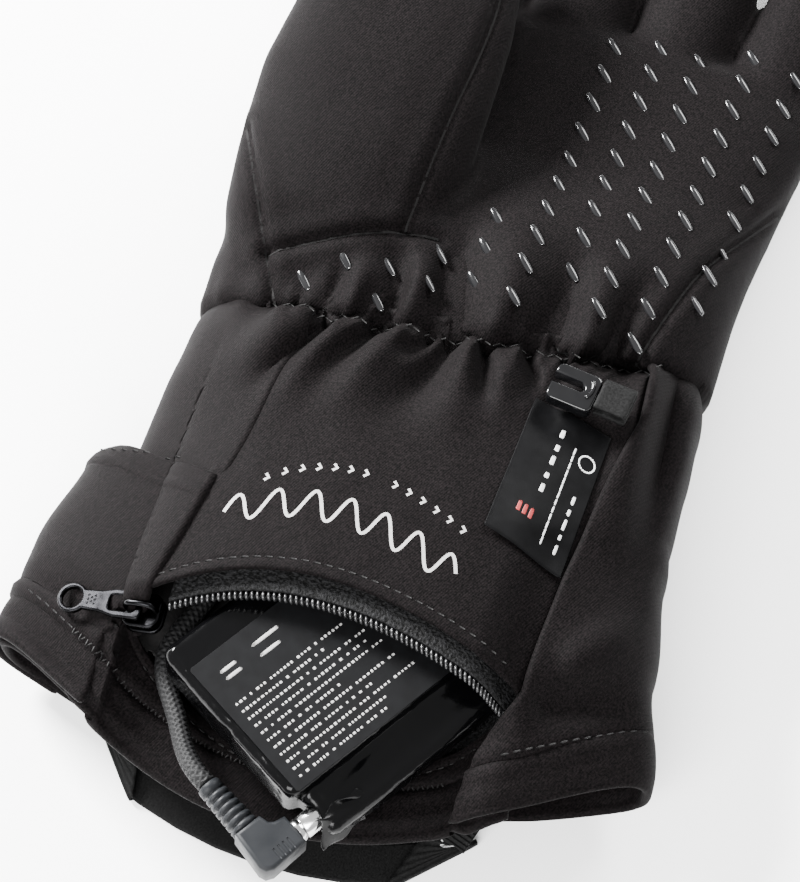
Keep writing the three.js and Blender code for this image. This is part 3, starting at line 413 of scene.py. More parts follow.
def wrist_line(x):
    return wrist_y(x / (WRIST_WIDTH / 2))


def cuff_half(side, along):
    return WRIST_WIDTH / 2 + table_at(CUFF_OUTLINE, side, along) * (HEM_WIDTH - WRIST_WIDTH) / 2


def hem_y(across, bulge):
    return WRIST_Y - CUFF_LENGTH - bulge * (1 - across * across) + HEM_SLANT * across


def mouth_share(x):
    return np.clip((x - MOUTH_X) / MOUTH_LENGTH + 0.5, 0, 1)


def mouth_line(x):
    return MOUTH_Y + MOUTH_SLANT * (x - MOUTH_X)


def upper_lip(x):
    return mouth_line(x) + MOUTH_RISE * np.sin(math.pi * mouth_share(x) ** 0.8)


def lower_lip(x):
    return mouth_line(x) - MOUTH_DROP * np.abs(np.sin(math.pi * mouth_share(x))) ** 0.8


def opening(x):
    share = mouth_share(x)
    return np.abs(np.sin(math.pi * share)) ** 0.25 * smooth((1 - share) / MOUTH_END_EASE)


def front_crown(x, y, along):
    base = CUFF_HEIGHT * table_at(CUFF_OUTLINE, "crown", along)
    upper = np.maximum(upper_lip(x), mouth_line(x) + MOUTH_RISE / 2)
    lower = np.minimum(lower_lip(x), mouth_line(x) - MOUTH_RISE / 2)
    above = smooth(((y - lower) / (upper - lower) - 0.14) / 0.7)
    towards_wrist = smooth((WRIST_Y - y) / (WRIST_Y - upper))
    lift = above * towards_wrist * (LIP_HEIGHT - base)
    sink = (1 - above) * (base - STRIP_HEIGHT)
    return base + opening(x) * (lift - sink)


def wall_share(x, y):
    away = np.minimum(np.abs(y - upper_lip(x)), np.abs(y - lower_lip(x)))
    return 1 - LIP_THINNING * hump(away / LIP_REACH) * opening(x)


def fold_height(along):
    return CUFF_HEIGHT * SIDE_FOLD_SHARE * lerp(1, 0.95, along)


def across_to_up(across):
    return (1 - np.abs(across) ** FRONT_ROUNDNESS) ** (1 / FRONT_ROUNDNESS)


def cuff_place(x, y, left="left", inset=0):
    """How far along and across the cuff a point of the plan lies."""
    along = np.clip((WRIST_Y - y) / CUFF_LENGTH, 0, 1)
    for _ in range(8):
        offset = x - HEM_SHIFT * along
        half = np.where(offset < 0, cuff_half(left, along), cuff_half("right", along)) - inset
        across = np.clip(offset / half, -0.985, 0.985)
        start = wrist_y(across)
        reach = start - hem_y(across, HEM_BULGE_FRONT * across_to_up(across))
        along = np.clip((start - y) / reach, 0, 1)
    return along, across


def cuff_top(x, y, inset=0):
    """The height of the cuff's front at a point of the plan."""
    along, across = cuff_place(x, y, inset=inset)
    low = fold_height(along)
    crown = front_crown(x, y, along) - inset * wall_share(x, y)
    return low + (crown - low) * across_to_up(across)


def ring_of_edge(edge, along, side, lap=0.0):
    """The place round the cuff's front where an edge of the plan crosses, from 0 at the thumb's side to 1."""
    y = WRIST_Y - CUFF_LENGTH * along
    for _ in range(8):
        half = cuff_half(side, along)
        across = np.clip((edge(y) + lap - HEM_SHIFT * along) / half, -0.99, 0.99)
        bulge = HEM_BULGE_FRONT * across_to_up(across)
        y = lerp(wrist_y(across), hem_y(across, bulge), along)
    return 1 - np.arccos(np.sign(across) * np.abs(across) ** (FRONT_ROUNDNESS / 2)) / math.pi


def cuff_ring(along, ring, left="left"):
    """Points of the cuff: ring is 0 to 1 over the front, 1 to 2 over the back, 2 to 3 over the front."""
    front = (ring <= 1) | (ring >= 2)
    share = ring - np.where(ring >= 2, 2, np.where(ring <= 1, 0, 1))
    angle = np.where(front, math.pi * (1 - share), -math.pi * share)
    across = np.sign(np.cos(angle)) * np.abs(np.cos(angle)) ** (2 / FRONT_ROUNDNESS)
    up = np.abs(np.sin(angle)) ** (2 / FRONT_ROUNDNESS)
    half = np.where(across < 0, cuff_half(left, along), cuff_half("right", along))
    x = HEM_SHIFT * along + half * across
    bulge = np.where(front, HEM_BULGE_FRONT, HEM_BULGE_BACK) * up
    y = lerp(wrist_y(across), hem_y(across, bulge), along)
    low = fold_height(along)
    top = low + (front_crown(x, y, along) - low) * up
    bottom = np.maximum(0.05, low - (low + 1.5) * up)
    return np.stack([x, y, np.where(front, top, bottom)], -1), np.where(front, up, 0)


# Relief that the cloth adds to the plain forms

def noise(x, y, pitch, seed):
    """Smooth waves in plan with no plain repeat, about one wave for each pitch."""
    random = np.random.default_rng(seed)
    total = np.zeros_like(x)
    for _ in range(9):
        angle = random.uniform(0, math.pi)
        length = pitch * random.uniform(0.7, 1.6)
        phase = random.uniform(0, 2 * math.pi)
        total += np.sin(2 * math.pi * (x * math.cos(angle) + y * math.sin(angle)) / length + phase)
    return total / 9


def to_line(x, y, points):
    """The distance from places in plan to a line through points."""
    nearest = np.full(np.shape(x), 1e9)
    for (ax, ay), (bx, by) in zip(points[:-1], points[1:]):
        run = (bx - ax) ** 2 + (by - ay) ** 2
        share = np.clip(((x - ax) * (bx - ax) + (y - ay) * (by - ay)) / run, 0, 1)
        nearest = np.minimum(nearest, np.hypot(x - lerp(ax, bx, share), y - lerp(ay, by, share)))
    return nearest


def fold_relief(x, y, folds):
    height = np.zeros(np.shape(x))
    for fold in folds:
        run_x = fold["end_x"] - fold["x"]
        run_y = fold["end_y"] - fold["y"]
        length = math.hypot(run_x, run_y)
        along = ((x - fold["x"]) * run_x + (y - fold["y"]) * run_y) / length**2
        away = ((x - fold["x"]) * run_y - (y - fold["y"]) * run_x) / length
        away = away + 1.2 * np.sin(3.1 * along + fold["x"])
        width = lerp(fold["width"], fold["end_width"], np.clip(along, 0, 1))
        fade = smooth((along + 0.25) / 0.3) * (1 - smooth((along - 0.25) / 0.85))
        height += FOLD_DEPTH * fold["height"] * fade * hump(away / width)
    return height


def shirring(x, y):
    """The pinched line of the wrist's elastic, with its small puckers."""
    away = y - wrist_line(x)
    random = np.random.default_rng(4)
    puckers = np.zeros(np.shape(x))
    place = ELASTIC_START
    while place < ELASTIC_END:
        place += random.uniform(*PUCKER_PITCH)
        lean = random.uniform(-PUCKER_LEAN, PUCKER_LEAN)
        size = random.uniform(*PUCKER_SIZE)
        puckers += size * hump((x - place - lean * away) / random.uniform(*PUCKER_WIDTH))
    front = smooth((52 - np.abs(x - 2)) / 6)
    pinch = -ELASTIC_PINCH * hump(away / 2.6) - ELASTIC_HOLLOW * hump(away / 7)
    ruffle = (puckers - 0.5) * PUCKER_DEPTH * hump((np.abs(away) - 2.4) / 3.4)
    return (pinch * lerp(0.45, 1, front)) + ruffle * front


def panel_relief(x, y):
    soft = 0.6 * noise(x, y, 30, 11) + 0.2 * noise(x, y, 12, 12)
    tuck = -PANEL_TUCK * smooth((y - wrist_line(x) + 0.8) / WRIST_TUCK)
    return fold_relief(x, y, PANEL_FOLDS) + shirring(x, y) + soft + tuck


def hem_relief(away):
    """The hem's seam, and the roll between it and the edge, over the distance from the edge."""
    seam = -HEM_SEAM_DEPTH * hump((away - HEM_BAND) / 0.8) + 0.35 * hump((away - HEM_BAND + 2.2) / 1.6)
    return seam - HEM_ROLL * (1 - smooth(away / 4)) + 0.3 * hump((away - HEM_BAND - 2.4) / 1.8)


def lip_relief(away):
    """The turned edge of a lip and the groove of its stitches."""
    return 0.25 * (1 - smooth((away - 0.6) / 3)) - 0.3 * hump((away - LIP_STITCH) / 0.5)


# Meshes

def linked(name, data):
    """A new object of some data, in the scene."""
    piece = bpy.data.objects.new(name, data)
    bpy.context.scene.collection.objects.link(piece)
    return piece


def add_object(name, mesh, material, slot=None, body="glove"):
    """A piece of one material; a slot, the one given or else the material's own, is worked out but not used.
    """
    mesh.polygons.foreach_set("use_smooth", [True] * len(mesh.polygons))
    mesh.materials.clear()
    mesh.materials.append(MATERIALS[material])
    piece = linked(name, mesh)
    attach(piece, body)
    slot = slot or SLOTS.get(material)
    return piece


def add_mesh(name, points, faces, material, slot=None, body="glove"):
    mesh = bpy.data.meshes.new(name)
    mesh.from_pydata((np.asarray(points) * MM).tolist(), [], faces)
    mesh.update()
    return add_object(name, mesh, material, slot, body)


def grid_faces(rows, columns, start=0, wrap=False):
    """The faces of a grid of points, row by row; wrap closes each row."""
    last = columns if wrap else columns - 1
    row, column = np.meshgrid(np.arange(rows - 1), np.arange(last), indexing="ij")
    following = (column + 1) % columns
    a = start + row * columns + column
    b = start + row * columns + following
    c = start + (row + 1) * columns + following
    d = start + (row + 1) * columns + column
    return np.stack([a, b, c, d], -1).reshape(-1, 4).tolist()


def grid_normals(points):
    down = np.gradient(points, axis=0)
    across = np.gradient(points, axis=1)
    return unit(np.cross(across, down))


def shell(name, top, thickness, material, flip=False):
    """A sheet of cloth with a wall below its grid of outer points, and rounded rims all round."""
    normals = grid_normals(top) * (-1 if flip else 1)
    thickness = np.broadcast_to(thickness, top.shape[:2])[..., None]
    bottom = top - normals * thickness
    rows, columns = top.shape[:2]
    index = np.arange(rows * columns).reshape(rows, columns)
    border = np.concatenate([index[0, :-1], index[:-1, -1], index[-1, :0:-1], index[:0:-1, 0]])
    row, column = border // columns, border % columns
    inside = index[np.clip(row, 1, rows - 2), np.clip(column, 1, columns - 2)]
    flat_top, flat_bottom = top.reshape(-1, 3), bottom.reshape(-1, 3)
    flat_normal = normals.reshape(-1, 3)[border]
    outward = flat_top[border] - flat_top[inside]
    outward -= flat_normal * np.sum(outward * flat_normal, -1, keepdims=True)
    outward = unit(outward)
    middle = (flat_top[border] + flat_bottom[border]) / 2
    half = thickness.reshape(-1, 1)[border] / 2
    points = [flat_top, flat_bottom]
    size = rows * columns
    faces = grid_faces(rows, columns)
    faces += [face[::-1] for face in grid_faces(rows, columns, size)]
    ring = [border]
    for step in range(1, RIM_STEPS + 1):
        turn = math.pi * step / (RIM_STEPS + 1)
        points.append(middle + half * (flat_normal * math.cos(turn) + outward * math.sin(turn)))
        ring.append(2 * size + (step - 1) * len(border) + np.arange(len(border)))
    ring.append(size + border)
    for upper, lower in zip(ring[:-1], ring[1:]):
        faces += np.stack([upper, lower, np.roll(lower, -1), np.roll(upper, -1)], -1).tolist()
    if flip:
        faces = [face[::-1] for face in faces]
    points = np.concatenate(points)
    points[:, 2] = np.maximum(points[:, 2], GROUND_GAP)
    return add_mesh(name, points, faces, material)


def evaluated(piece):
    """The piece's mesh with its modifiers applied, as a new mesh; the piece itself is removed."""
    graph = bpy.context.evaluated_depsgraph_get()
    mesh = bpy.data.meshes.new_from_object(piece.evaluated_get(graph))
    bpy.data.objects.remove(piece)
    return mesh


def remeshed(nodes, voxel, smoothing):
    """The shape of CAD nodes as one even, smooth mesh."""
    meshes = [frame["nodes"][node].data for node in nodes]
    solids = [([v.co[:] for v in data.vertices], [p.vertices for p in data.polygons]) for data in meshes]
    points, faces = joined(solids)
    mesh = bpy.data.meshes.new("joined")
    mesh.from_pydata(points, [], faces)
    piece = linked("joined", mesh)
    remesh = piece.modifiers.new("remesh", "REMESH")
    remesh.mode = "VOXEL"
    remesh.voxel_size = voxel * MM
    relax = piece.modifiers.new("relax", "SMOOTH")
    relax.factor = 0.5
    relax.iterations = smoothing
    return evaluated(piece)


def mesh_points(mesh):
    points = np.empty(len(mesh.vertices) * 3, np.float32)
    mesh.vertices.foreach_get("co", points)
    return points.reshape(-1, 3).astype(float) / MM


def mesh_normals(mesh):
    normals = np.empty(len(mesh.vertices) * 3, np.float32)
    mesh.vertex_normals.foreach_get("vector", normals)
    return normals.reshape(-1, 3).astype(float)


def set_points(mesh, points):
    mesh.vertices.foreach_set("co", (points * MM).astype(np.float32).ravel())
    mesh.update()


def tree_of(*pieces):
    parts = []
    for piece in pieces:
        matrix = piece.matrix_world
        points = [matrix @ vertex.co for vertex in piece.data.vertices]
        parts.append((points, [face.vertices for face in piece.data.polygons]))
    return BVHTree.FromPolygons(*joined(parts))


def drop(tree, x, y, start=90):
    """Where a line down through a point of the plan meets the pieces of a tree, in millimetres."""
    place, normal, _, _ = tree.ray_cast(Vector((x * MM, y * MM, start * MM)), Vector((0, 0, -1)))
    if place is None:
        return None, None
    return place / MM, normal


def tube(name, path, radius, sides, material, relief=None):
    """A closed tube along points in millimetres; relief gives the radius at (place, angle)."""
    path = np.asarray(path, float)
    tangent = unit(np.gradient(path, axis=0))
    normal = np.zeros_like(path)
    start = np.array([0.0, 0.0, 1.0])
    for i, direction in enumerate(tangent):
        start = start - direction * np.dot(start, direction)
        start /= np.linalg.norm(start)
        normal[i] = start
    side = np.cross(tangent, normal)
    angle = np.linspace(0, 2 * math.pi, sides, endpoint=False)
    reach = np.full((len(path), sides), radius)
    if relief:
        reach = reach + relief(lengths_along(path)[:, None], angle[None, :])
    around = normal[:, None] * np.cos(angle)[:, None] + side[:, None] * np.sin(angle)[:, None]
    points = (path[:, None] + around * reach[..., None]).reshape(-1, 3)
    faces = [face[::-1] for face in grid_faces(len(path), sides, wrap=True)]
    count = len(points)
    points = np.concatenate([points, [path[0], path[-1]]])
    for i in range(sides):
        following = (i + 1) % sides
        faces.append([count, i, following])
        faces.append([count + 1, count - sides + following, count - sides + i])
    return add_mesh(name, points, faces, material)


def pill(sides, rings, square=1.0):
    """A unit pill, one long in X and one across, as points and faces."""
    points = [(-0.5, 0, 0)]
    for ring in range(1, rings):
        turn = math.pi * ring / rings
        across = 0.5 * math.sin(turn) ** square
        for side in range(sides):
            angle = 2 * math.pi * side / sides
            points.append((-0.5 * math.cos(turn), across * math.cos(angle), across * math.sin(angle)))
    points.append((0.5, 0, 0))
    faces = [face[::-1] for face in grid_faces(rings - 1, sides, 1, wrap=True)]
    last = len(points) - 1
    for side in range(sides):
        following = (side + 1) % sides
        faces.append([0, 1 + side, 1 + following][::-1])
        faces.append([last, last - sides + following, last - sides + side][::-1])
    return np.array(points), faces


def scatter(name, template, places, material, slot=None, body="glove"):
    """Copies of a template as one mesh, each at a centre, with a direction, a normal and a size."""
    shape, shape_faces = template
    copies = []
    for centre, direction, normal, size in places:
        along = Vector(direction).normalized()
        up = (Vector(normal) - along * along.dot(Vector(normal))).normalized()
        axes = np.array([along, up.cross(along), up]) * np.array(size)[:, None]
        copies.append((shape @ axes + np.array(centre), shape_faces))
    return add_mesh(name, *joined(copies), material, slot, body)


def resample(points, pitch):
    """Places along a line through points, a pitch apart, with their directions."""
    points = np.asarray(points, float)
    lengths = lengths_along(points)
    places = np.arange(pitch / 2, lengths[-1], pitch)
    made = np.stack([np.interp(places, lengths, points[:, i]) for i in range(points.shape[1])], -1)
    return made, np.gradient(made, axis=0)


STITCH = pill(6, 5, 0.6)
STITCH_LENGTH = 2.0
ZIGZAG_LENGTH = 2.6
STITCH_WIDTH = 0.5


def stitches(tree, line, pitch, length, zigzag):
    """Places of a row of stitches on the pieces of a tree, along a line in plan."""
    made, directions = resample(line, pitch)
    places = []
    for i, ((x, y), (dx, dy)) in enumerate(zip(made, directions)):
        direction = Vector((dx, dy, 0)).normalized()
        if zigzag:
            across = Vector((-direction.y, direction.x, 0))
            direction = (direction * pitch + across * zigzag * (1 if i % 2 else -1)).normalized()
        centre, normal = drop(tree, x, y)
        if centre is not None and normal.z > 0.05:
            size = (length, STITCH_WIDTH, STITCH_WIDTH * 0.8)
            places.append((centre + normal * 0.06, direction, normal, size))
    return places


# Materials

def set_inputs(node, **values):
    for key, value in values.items():
        socket = key.replace("_", " ").title().replace("Ior", "IOR")
        node.inputs[socket].default_value = value


def new_material(name, color, roughness, **settings):
    material = bpy.data.materials.new(name)
    material.use_nodes = True
    shader = material.node_tree.nodes["Principled BSDF"]
    set_inputs(shader, base_color=(*color, 1), roughness=roughness, **settings)
    return material


def mapped(material, stretch=(1, 1, 1), turn=(0, 0, 0)):
    coordinates = material.node_tree.nodes.new("ShaderNodeTexCoord")
    mapping = material.node_tree.nodes.new("ShaderNodeMapping")
    set_inputs(mapping, scale=stretch, rotation=turn)
    material.node_tree.links.new(coordinates.outputs["Object"], mapping.inputs["Vector"])
    return mapping.outputs["Vector"]


def noise_texture(material, size, detail=2.0, stretch=(1, 1, 1), turn=(0, 0, 0)):
    """Noise with grains of about a size in millimetres."""
    texture = material.node_tree.nodes.new("ShaderNodeTexNoise")
    set_inputs(texture, scale=1 / (size * MM), detail=detail)
    material.node_tree.links.new(mapped(material, stretch, turn), texture.inputs["Vector"])
    return texture.outputs["Fac"]


def wave_texture(material, pitch, turn):
    """Ridges a pitch in millimetres apart."""
    texture = material.node_tree.nodes.new("ShaderNodeTexWave")
    set_inputs(texture, scale=2 * math.pi / (pitch * MM) / 20, distortion=0, detail_scale=2)
    material.node_tree.links.new(mapped(material, turn=turn), texture.inputs["Vector"])
    return texture.outputs["Fac"]


def bump(material, *layers):
    """Bumps of (texture output, depth in millimetres), one on the other."""
    shader = material.node_tree.nodes["Principled BSDF"]
    previous = None
    for output, depth in layers:
        node = material.node_tree.nodes.new("ShaderNodeBump")
        set_inputs(node, strength=1, distance=depth * MM)
        material.node_tree.links.new(output, node.inputs["Height"])
        if previous:
            material.node_tree.links.new(previous, node.inputs["Normal"])
        previous = node.outputs["Normal"]
    material.node_tree.links.new(previous, shader.inputs["Normal"])


def vary(material, output, socket, low, high, start=0.3, end=0.7):
    """A socket that changes with a texture, between two numbers or two colours."""
    shader = material.node_tree.nodes["Principled BSDF"]
    if socket == "Base Color":
        ramp = material.node_tree.nodes.new("ShaderNodeValToRGB")
        for element, place, color in zip(ramp.color_ramp.elements, (start, end), (low, high)):
            element.position = place
            element.color = (*color, 1)
        material.node_tree.links.new(output, ramp.inputs["Fac"])
        material.node_tree.links.new(ramp.outputs["Color"], shader.inputs[socket])
        return
    ranged = material.node_tree.nodes.new("ShaderNodeMapRange")
    set_inputs(ranged, from_min=start, from_max=end, to_min=low, to_max=high)
    material.node_tree.links.new(output, ranged.inputs["Value"])
    material.node_tree.links.new(ranged.outputs["Result"], shader.inputs[socket])


def softshell_material():
    settings = {"sheen_weight": 0.008, "sheen_roughness": 0.4, "specular_ior_level": 0.035}
    material = new_material("softshell", (0.011, 0.0088, 0.0092), 0.75, **settings)
    grain = noise_texture(material, 0.5, 3)
    vary(material, grain, "Base Color", (0.0003, 0.0002, 0.0002), (0.0036, 0.0027, 0.0029), 0.36, 0.66)
    twill = wave_texture(material, 0.55, turn=(0, 0, math.radians(28)))
    bump(material, (grain, 0.07), (twill, 0.03), (noise_texture(material, 4), 0.1))
    return material


def plain_cloth(name, low, high, roughness, size, detail, depth, specular):
    material = new_material(name, high, roughness, specular_ior_level=specular)
    grain = noise_texture(material, size, detail)
    vary(material, grain, "Base Color", low, high)
    bump(material, (grain, depth))
    return material


def tape_material():
    material = new_material("zip tape", (0.004, 0.004, 0.0042), 0.7, specular_ior_level=0.1)
    knit = noise_texture(material, 0.75, 1)
    vary(material, knit, "Base Color", (0.0004, 0.0004, 0.0004), (0.0062, 0.0062, 0.0066), 0.4, 0.62)
    bump(material, (knit, 0.5))
    return material


def metal_material(name, color, roughness):
    material = new_material(name, color, roughness, metallic=1.0)
    wear = noise_texture(material, 3, 3)
    vary(material, wear, "Roughness", roughness * 0.7, roughness * 1.4)
    bump(material, (wear, 0.01))
    return material


def film_material():
    settings = {"coat_weight": 0.06, "coat_roughness": 0.05, "specular_ior_level": 0.07}
    material = new_material("shrink film", (0.0008, 0.0008, 0.0009), 0.16, **settings)
    wrinkle = noise_texture(material, 9, 3, stretch=(1, 0.35, 1), turn=(0, 0, math.radians(32)))
    vary(material, wrinkle, "Roughness", 0.1, 0.26)
    bump(material, (wrinkle, 0.5), (noise_texture(material, 2.5, 2), 0.04))
    return material


def rubber_material():
    material = new_material("rubber", (0.0052, 0.0058, 0.0068), 0.55, specular_ior_level=0.13)
    grain = noise_texture(material, 0.35, 2)
    vary(material, noise_texture(material, 5, 2), "Roughness", 0.42, 0.6)
    bump(material, (grain, 0.02))
    return material


def glossy_material(name, low, high, roughness, depth, specular):
    material = new_material(name, low, roughness, specular_ior_level=specular)
    spots = noise_texture(material, 3, 3)
    vary(material, spots, "Base Color", low, high)
    bump(material, (noise_texture(material, 0.8, 2), depth))
    return material


PLAIN_CLOTHS = table(
    "name low high roughness size detail depth specular",
    ("inside", (0.0025, 0.0025, 0.0025), (0.006, 0.0055, 0.0055), 0.85, 0.7, 3, 0.08, 0.1),
    ("thread", (0.0014, 0.0013, 0.0013), (0.008, 0.0075, 0.0075), 0.65, 0.3, 3, 0.03, 0.15),
    ("braid", (0.001, 0.001, 0.001), (0.006, 0.006, 0.0064), 0.65, 0.35, 3, 0.05, 0.15),
    ("ribbon", (0.0016, 0.0016, 0.0016), (0.006, 0.006, 0.006), 0.65, 0.4, 2, 0.04, 0.05),
    ("print", (0.2, 0.195, 0.19), (0.28, 0.275, 0.27), 0.6, 0.5, 3, 0.02, 0.5),
    ("white print", (0.4, 0.4, 0.4), (0.5, 0.5, 0.5), 0.6, 0.5, 3, 0.02, 0.5),
    ("red print", (0.16, 0.003, 0.003), (0.22, 0.005, 0.005), 0.6, 0.5, 3, 0.02, 0.5),
)
GLOSSY_MATERIALS = table(
    "name low high roughness depth specular",
    ("coil", (0.004, 0.004, 0.0045), (0.012, 0.012, 0.0125), 0.3, 0.01, 0.5),
    ("label", (0.0016, 0.0016, 0.0018), (0.0026, 0.0027, 0.003), 0.55, 0.006, 0.06),
    ("satin", (0.0008, 0.0008, 0.0009), (0.0018, 0.0018, 0.002), 0.5, 0.01, 0.04),
    ("plastic", (0.0016, 0.0016, 0.0018), (0.0025, 0.0025, 0.0028), 0.16, 0.01, 0.3),
    ("silicone", (0.004, 0.004, 0.0044), (0.006, 0.006, 0.0064), 0.14, 0.01, 0.3),
)
MATERIALS = {
    "softshell": softshell_material(),
    "zip tape": tape_material(),
    "gunmetal": metal_material("gunmetal", (0.007, 0.007, 0.0076), 0.22),
    "bright metal": metal_material("bright metal", (0.5, 0.5, 0.5), 0.18),
    "shrink film": film_material(),
    "rubber": rubber_material(),
}
MATERIALS.update((row["name"], plain_cloth(**row)) for row in PLAIN_CLOTHS)
MATERIALS.update((row["name"], glossy_material(**row)) for row in GLOSSY_MATERIALS)

# The slot name of each material, for pieces that name no other; add_object looks it up but gives it to no
# piece
SLOTS = {
    "softshell": "softshell",
    "thread": "softshell",
    "print": "softshell",
    "inside": "lining",
    "zip tape": "zip_tape",
    "coil": "zip_tape",
    "gunmetal": "zip_metal",
    "bright metal": "barrel",
    "shrink film": "film",
    "label": "label",
    "rubber": "rubber",
    "braid": "braid",
    "ribbon": "ribbon",
    "satin": "ribbon",
    "white print": "ribbon",
    "red print": "ribbon",
    "plastic": "hook_plastic",
}


# Camera and stage

STAGE_HALF = 4
WORLD_STRENGTH = 1.4
LIGHTS = table(
    "name place size power",
    ("key", (-0.85, 0.35, 0.6), (0.35, 0.35), 130),
    ("top", (0.45, 0.85, 0.65), (0.6, 0.35), 28),
    ("fill", (-0.1, -0.9, 0.75), (0.9, 0.5), 44),
)


def make_camera():
    azimuth = math.radians(CAMERA_AZIMUTH)
    elevation = math.radians(CAMERA_ELEVATION)
    level = math.cos(elevation)
    back = Vector((math.sin(azimuth) * level, -math.cos(azimuth) * level, math.sin(elevation)))
    data = bpy.data.cameras.new("camera")
    data.lens = CAMERA_LENS
    data.sensor_width = CAMERA_SENSOR
    data.clip_start = 0.01
    camera = linked("camera", data)
    camera.location = (Vector(CAMERA_TARGET) + back * CAMERA_DISTANCE) * MM
    camera.rotation_euler = back.to_track_quat("Z", "Y").to_euler()
    bpy.context.scene.camera = camera


def add_light(name, place, size, power):
    data = bpy.data.lights.new(name, "AREA")
    data.shape = "RECTANGLE"
    data.size, data.size_y = size
    data.energy = power
    light = linked(name, data)
    light.location = place
    light.rotation_euler = Vector(place).to_track_quat("Z", "Y").to_euler()


def make_stage():
    floor = bpy.data.meshes.new("floor")
    corners = [(-STAGE_HALF, -STAGE_HALF, 0), (STAGE_HALF, -STAGE_HALF, 0)]
    corners += [(STAGE_HALF, STAGE_HALF, 0), (-STAGE_HALF, STAGE_HALF, 0)]
    floor.from_pydata(corners, [], [(0, 1, 2, 3)])
    piece = linked("floor", floor)
    paper = new_material("paper", (0.97, 0.97, 0.97), 0.9)
    floor.materials.append(paper)
    world = bpy.data.worlds.new("studio")
    world.use_nodes = True
    world.node_tree.nodes["Background"].inputs["Color"].default_value = (1, 1, 1, 1)
    world.node_tree.nodes["Background"].inputs["Strength"].default_value = WORLD_STRENGTH
    bpy.context.scene.world = world
    for light in LIGHTS:
        add_light(**light)


# Lead, plug and battery pack

def pack_matrix():
    corner = Matrix.Translation(Vector(PACK_CORNER))
    return corner @ turned(PACK_TURN) @ turned(PACK_ROLL, "Y") @ turned(PACK_DIP, "X")


def moved(matrix, x, y, z):
    return matrix @ Matrix.Translation((x, y, z))


def turned(degrees, axis="Z"):
    return Matrix.Rotation(math.radians(degrees), 4, axis)


def placed(points, matrix):
    rotation = np.array(matrix.to_3x3())
    return np.asarray(points, float) @ rotation.T + np.array(matrix.translation)


def catmull(points, steps):
    """A smooth line through points, with a number of steps between each two."""
    points = np.asarray(points, float)
    ends = [2 * points[0] - points[1], *points, 2 * points[-1] - points[-2]]
    made = []
    for before, start, end, after in zip(ends, ends[1:], ends[2:], ends[3:]):
        for share in np.arange(steps) / steps:
            a = 2 * start
            b = end - before
            c = 2 * before - 5 * start + 4 * end - after
            d = 3 * start - before - 3 * end + after
            made.append((a + b * share + c * share**2 + d * share**3) / 2)
    made.append(points[-1])
    return np.array(made)


def make_lead():
    """The braided lead: strands cross over and under each other round the tube."""
    route = catmull(np.array(LEAD_ROUTE) / MM, LEAD_STEPS)
    strands = LEAD_STRANDS / 2

    def weave(place, angle):
        left = np.cos(strands * (angle + 2 * math.pi * place / LEAD_TWIST))
        right = np.cos(strands * (angle - 2 * math.pi * place / LEAD_TWIST))
        return LEAD_WEAVE * np.maximum(left, right) - LEAD_WEAVE

    lead = tube("lead_braid", route, LEAD_DIAMETER / MM / 2, LEAD_SIDES, "braid", weave)
    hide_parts("lead")
    return lead, route


def lathe(name, profile, matrix, material, along="X"):
    """A round piece from (place, radius) points along its axis."""
    points = []
    for place, radius in profile:
        for turn in np.linspace(0, 2 * math.pi, ROUND_SIDES, endpoint=False):
            c, s = radius * math.cos(turn), radius * math.sin(turn)
            points.append((place, c, s) if along == "X" else (c, place, s))
    faces = grid_faces(len(profile), ROUND_SIDES, wrap=True)
    if along == "X":
        faces = [face[::-1] for face in faces]
    return add_mesh(name, placed(points, matrix), faces, material)


def plate(name, outline, depth, bevel, matrix, material, holes=(), body="glove"):
    """A plate with rounded edges between z = 0 and depth, from an outline in the plane."""
    data = bpy.data.curves.new(name, "CURVE")
    data.dimensions = "2D"
    data.fill_mode = "BOTH"
    data.extrude = (depth / 2 - bevel) * MM
    data.bevel_depth = bevel * MM
    data.bevel_resolution = BEVEL_STEPS
    for ring in [outline, *holes]:
        spline = data.splines.new("POLY")
        spline.points.add(len(ring) - 1)
        for point, (x, y) in zip(spline.points, ring):
            point.co = (x * MM, y * MM, 0, 1)
        spline.use_cyclic_u = True
    data.offset = -bevel * MM
    curve = linked(name, data)
    bpy.context.view_layer.update()
    mesh = evaluated(curve)
    points = mesh_points(mesh) + np.array([0, 0, depth / 2])
    set_points(mesh, placed(points, matrix))
    return add_object(name, mesh, material, None, body)


def mark_on(matrix, place, direction, size):
    """A place for scatter on a piece that has its own frame."""
    axes = matrix.to_3x3()
    return matrix @ Vector(place), axes @ Vector(direction), axes @ Vector((0, 0, 1)), size


def rounded_box(length, width, corner, centre=(0, 0), steps=6):
    outline = []
    for quarter in range(4):
        turn = quarter * QUARTER
        x = centre[0] + (length / 2 - corner) * (1 if quarter in (0, 3) else -1)
        y = centre[1] + (width / 2 - corner) * (1 if quarter in (0, 1) else -1)
        for step in range(steps + 1):
            angle = turn + QUARTER * step / steps
            outline.append((x + corner * math.cos(angle), y + corner * math.sin(angle)))
    return outline


def circle(radius, centre=(0, 0), steps=32):
    turns = [2 * math.pi * i / steps for i in range(steps)]
    return [(centre[0] + radius * math.cos(t), centre[1] + radius * math.sin(t)) for t in turns]


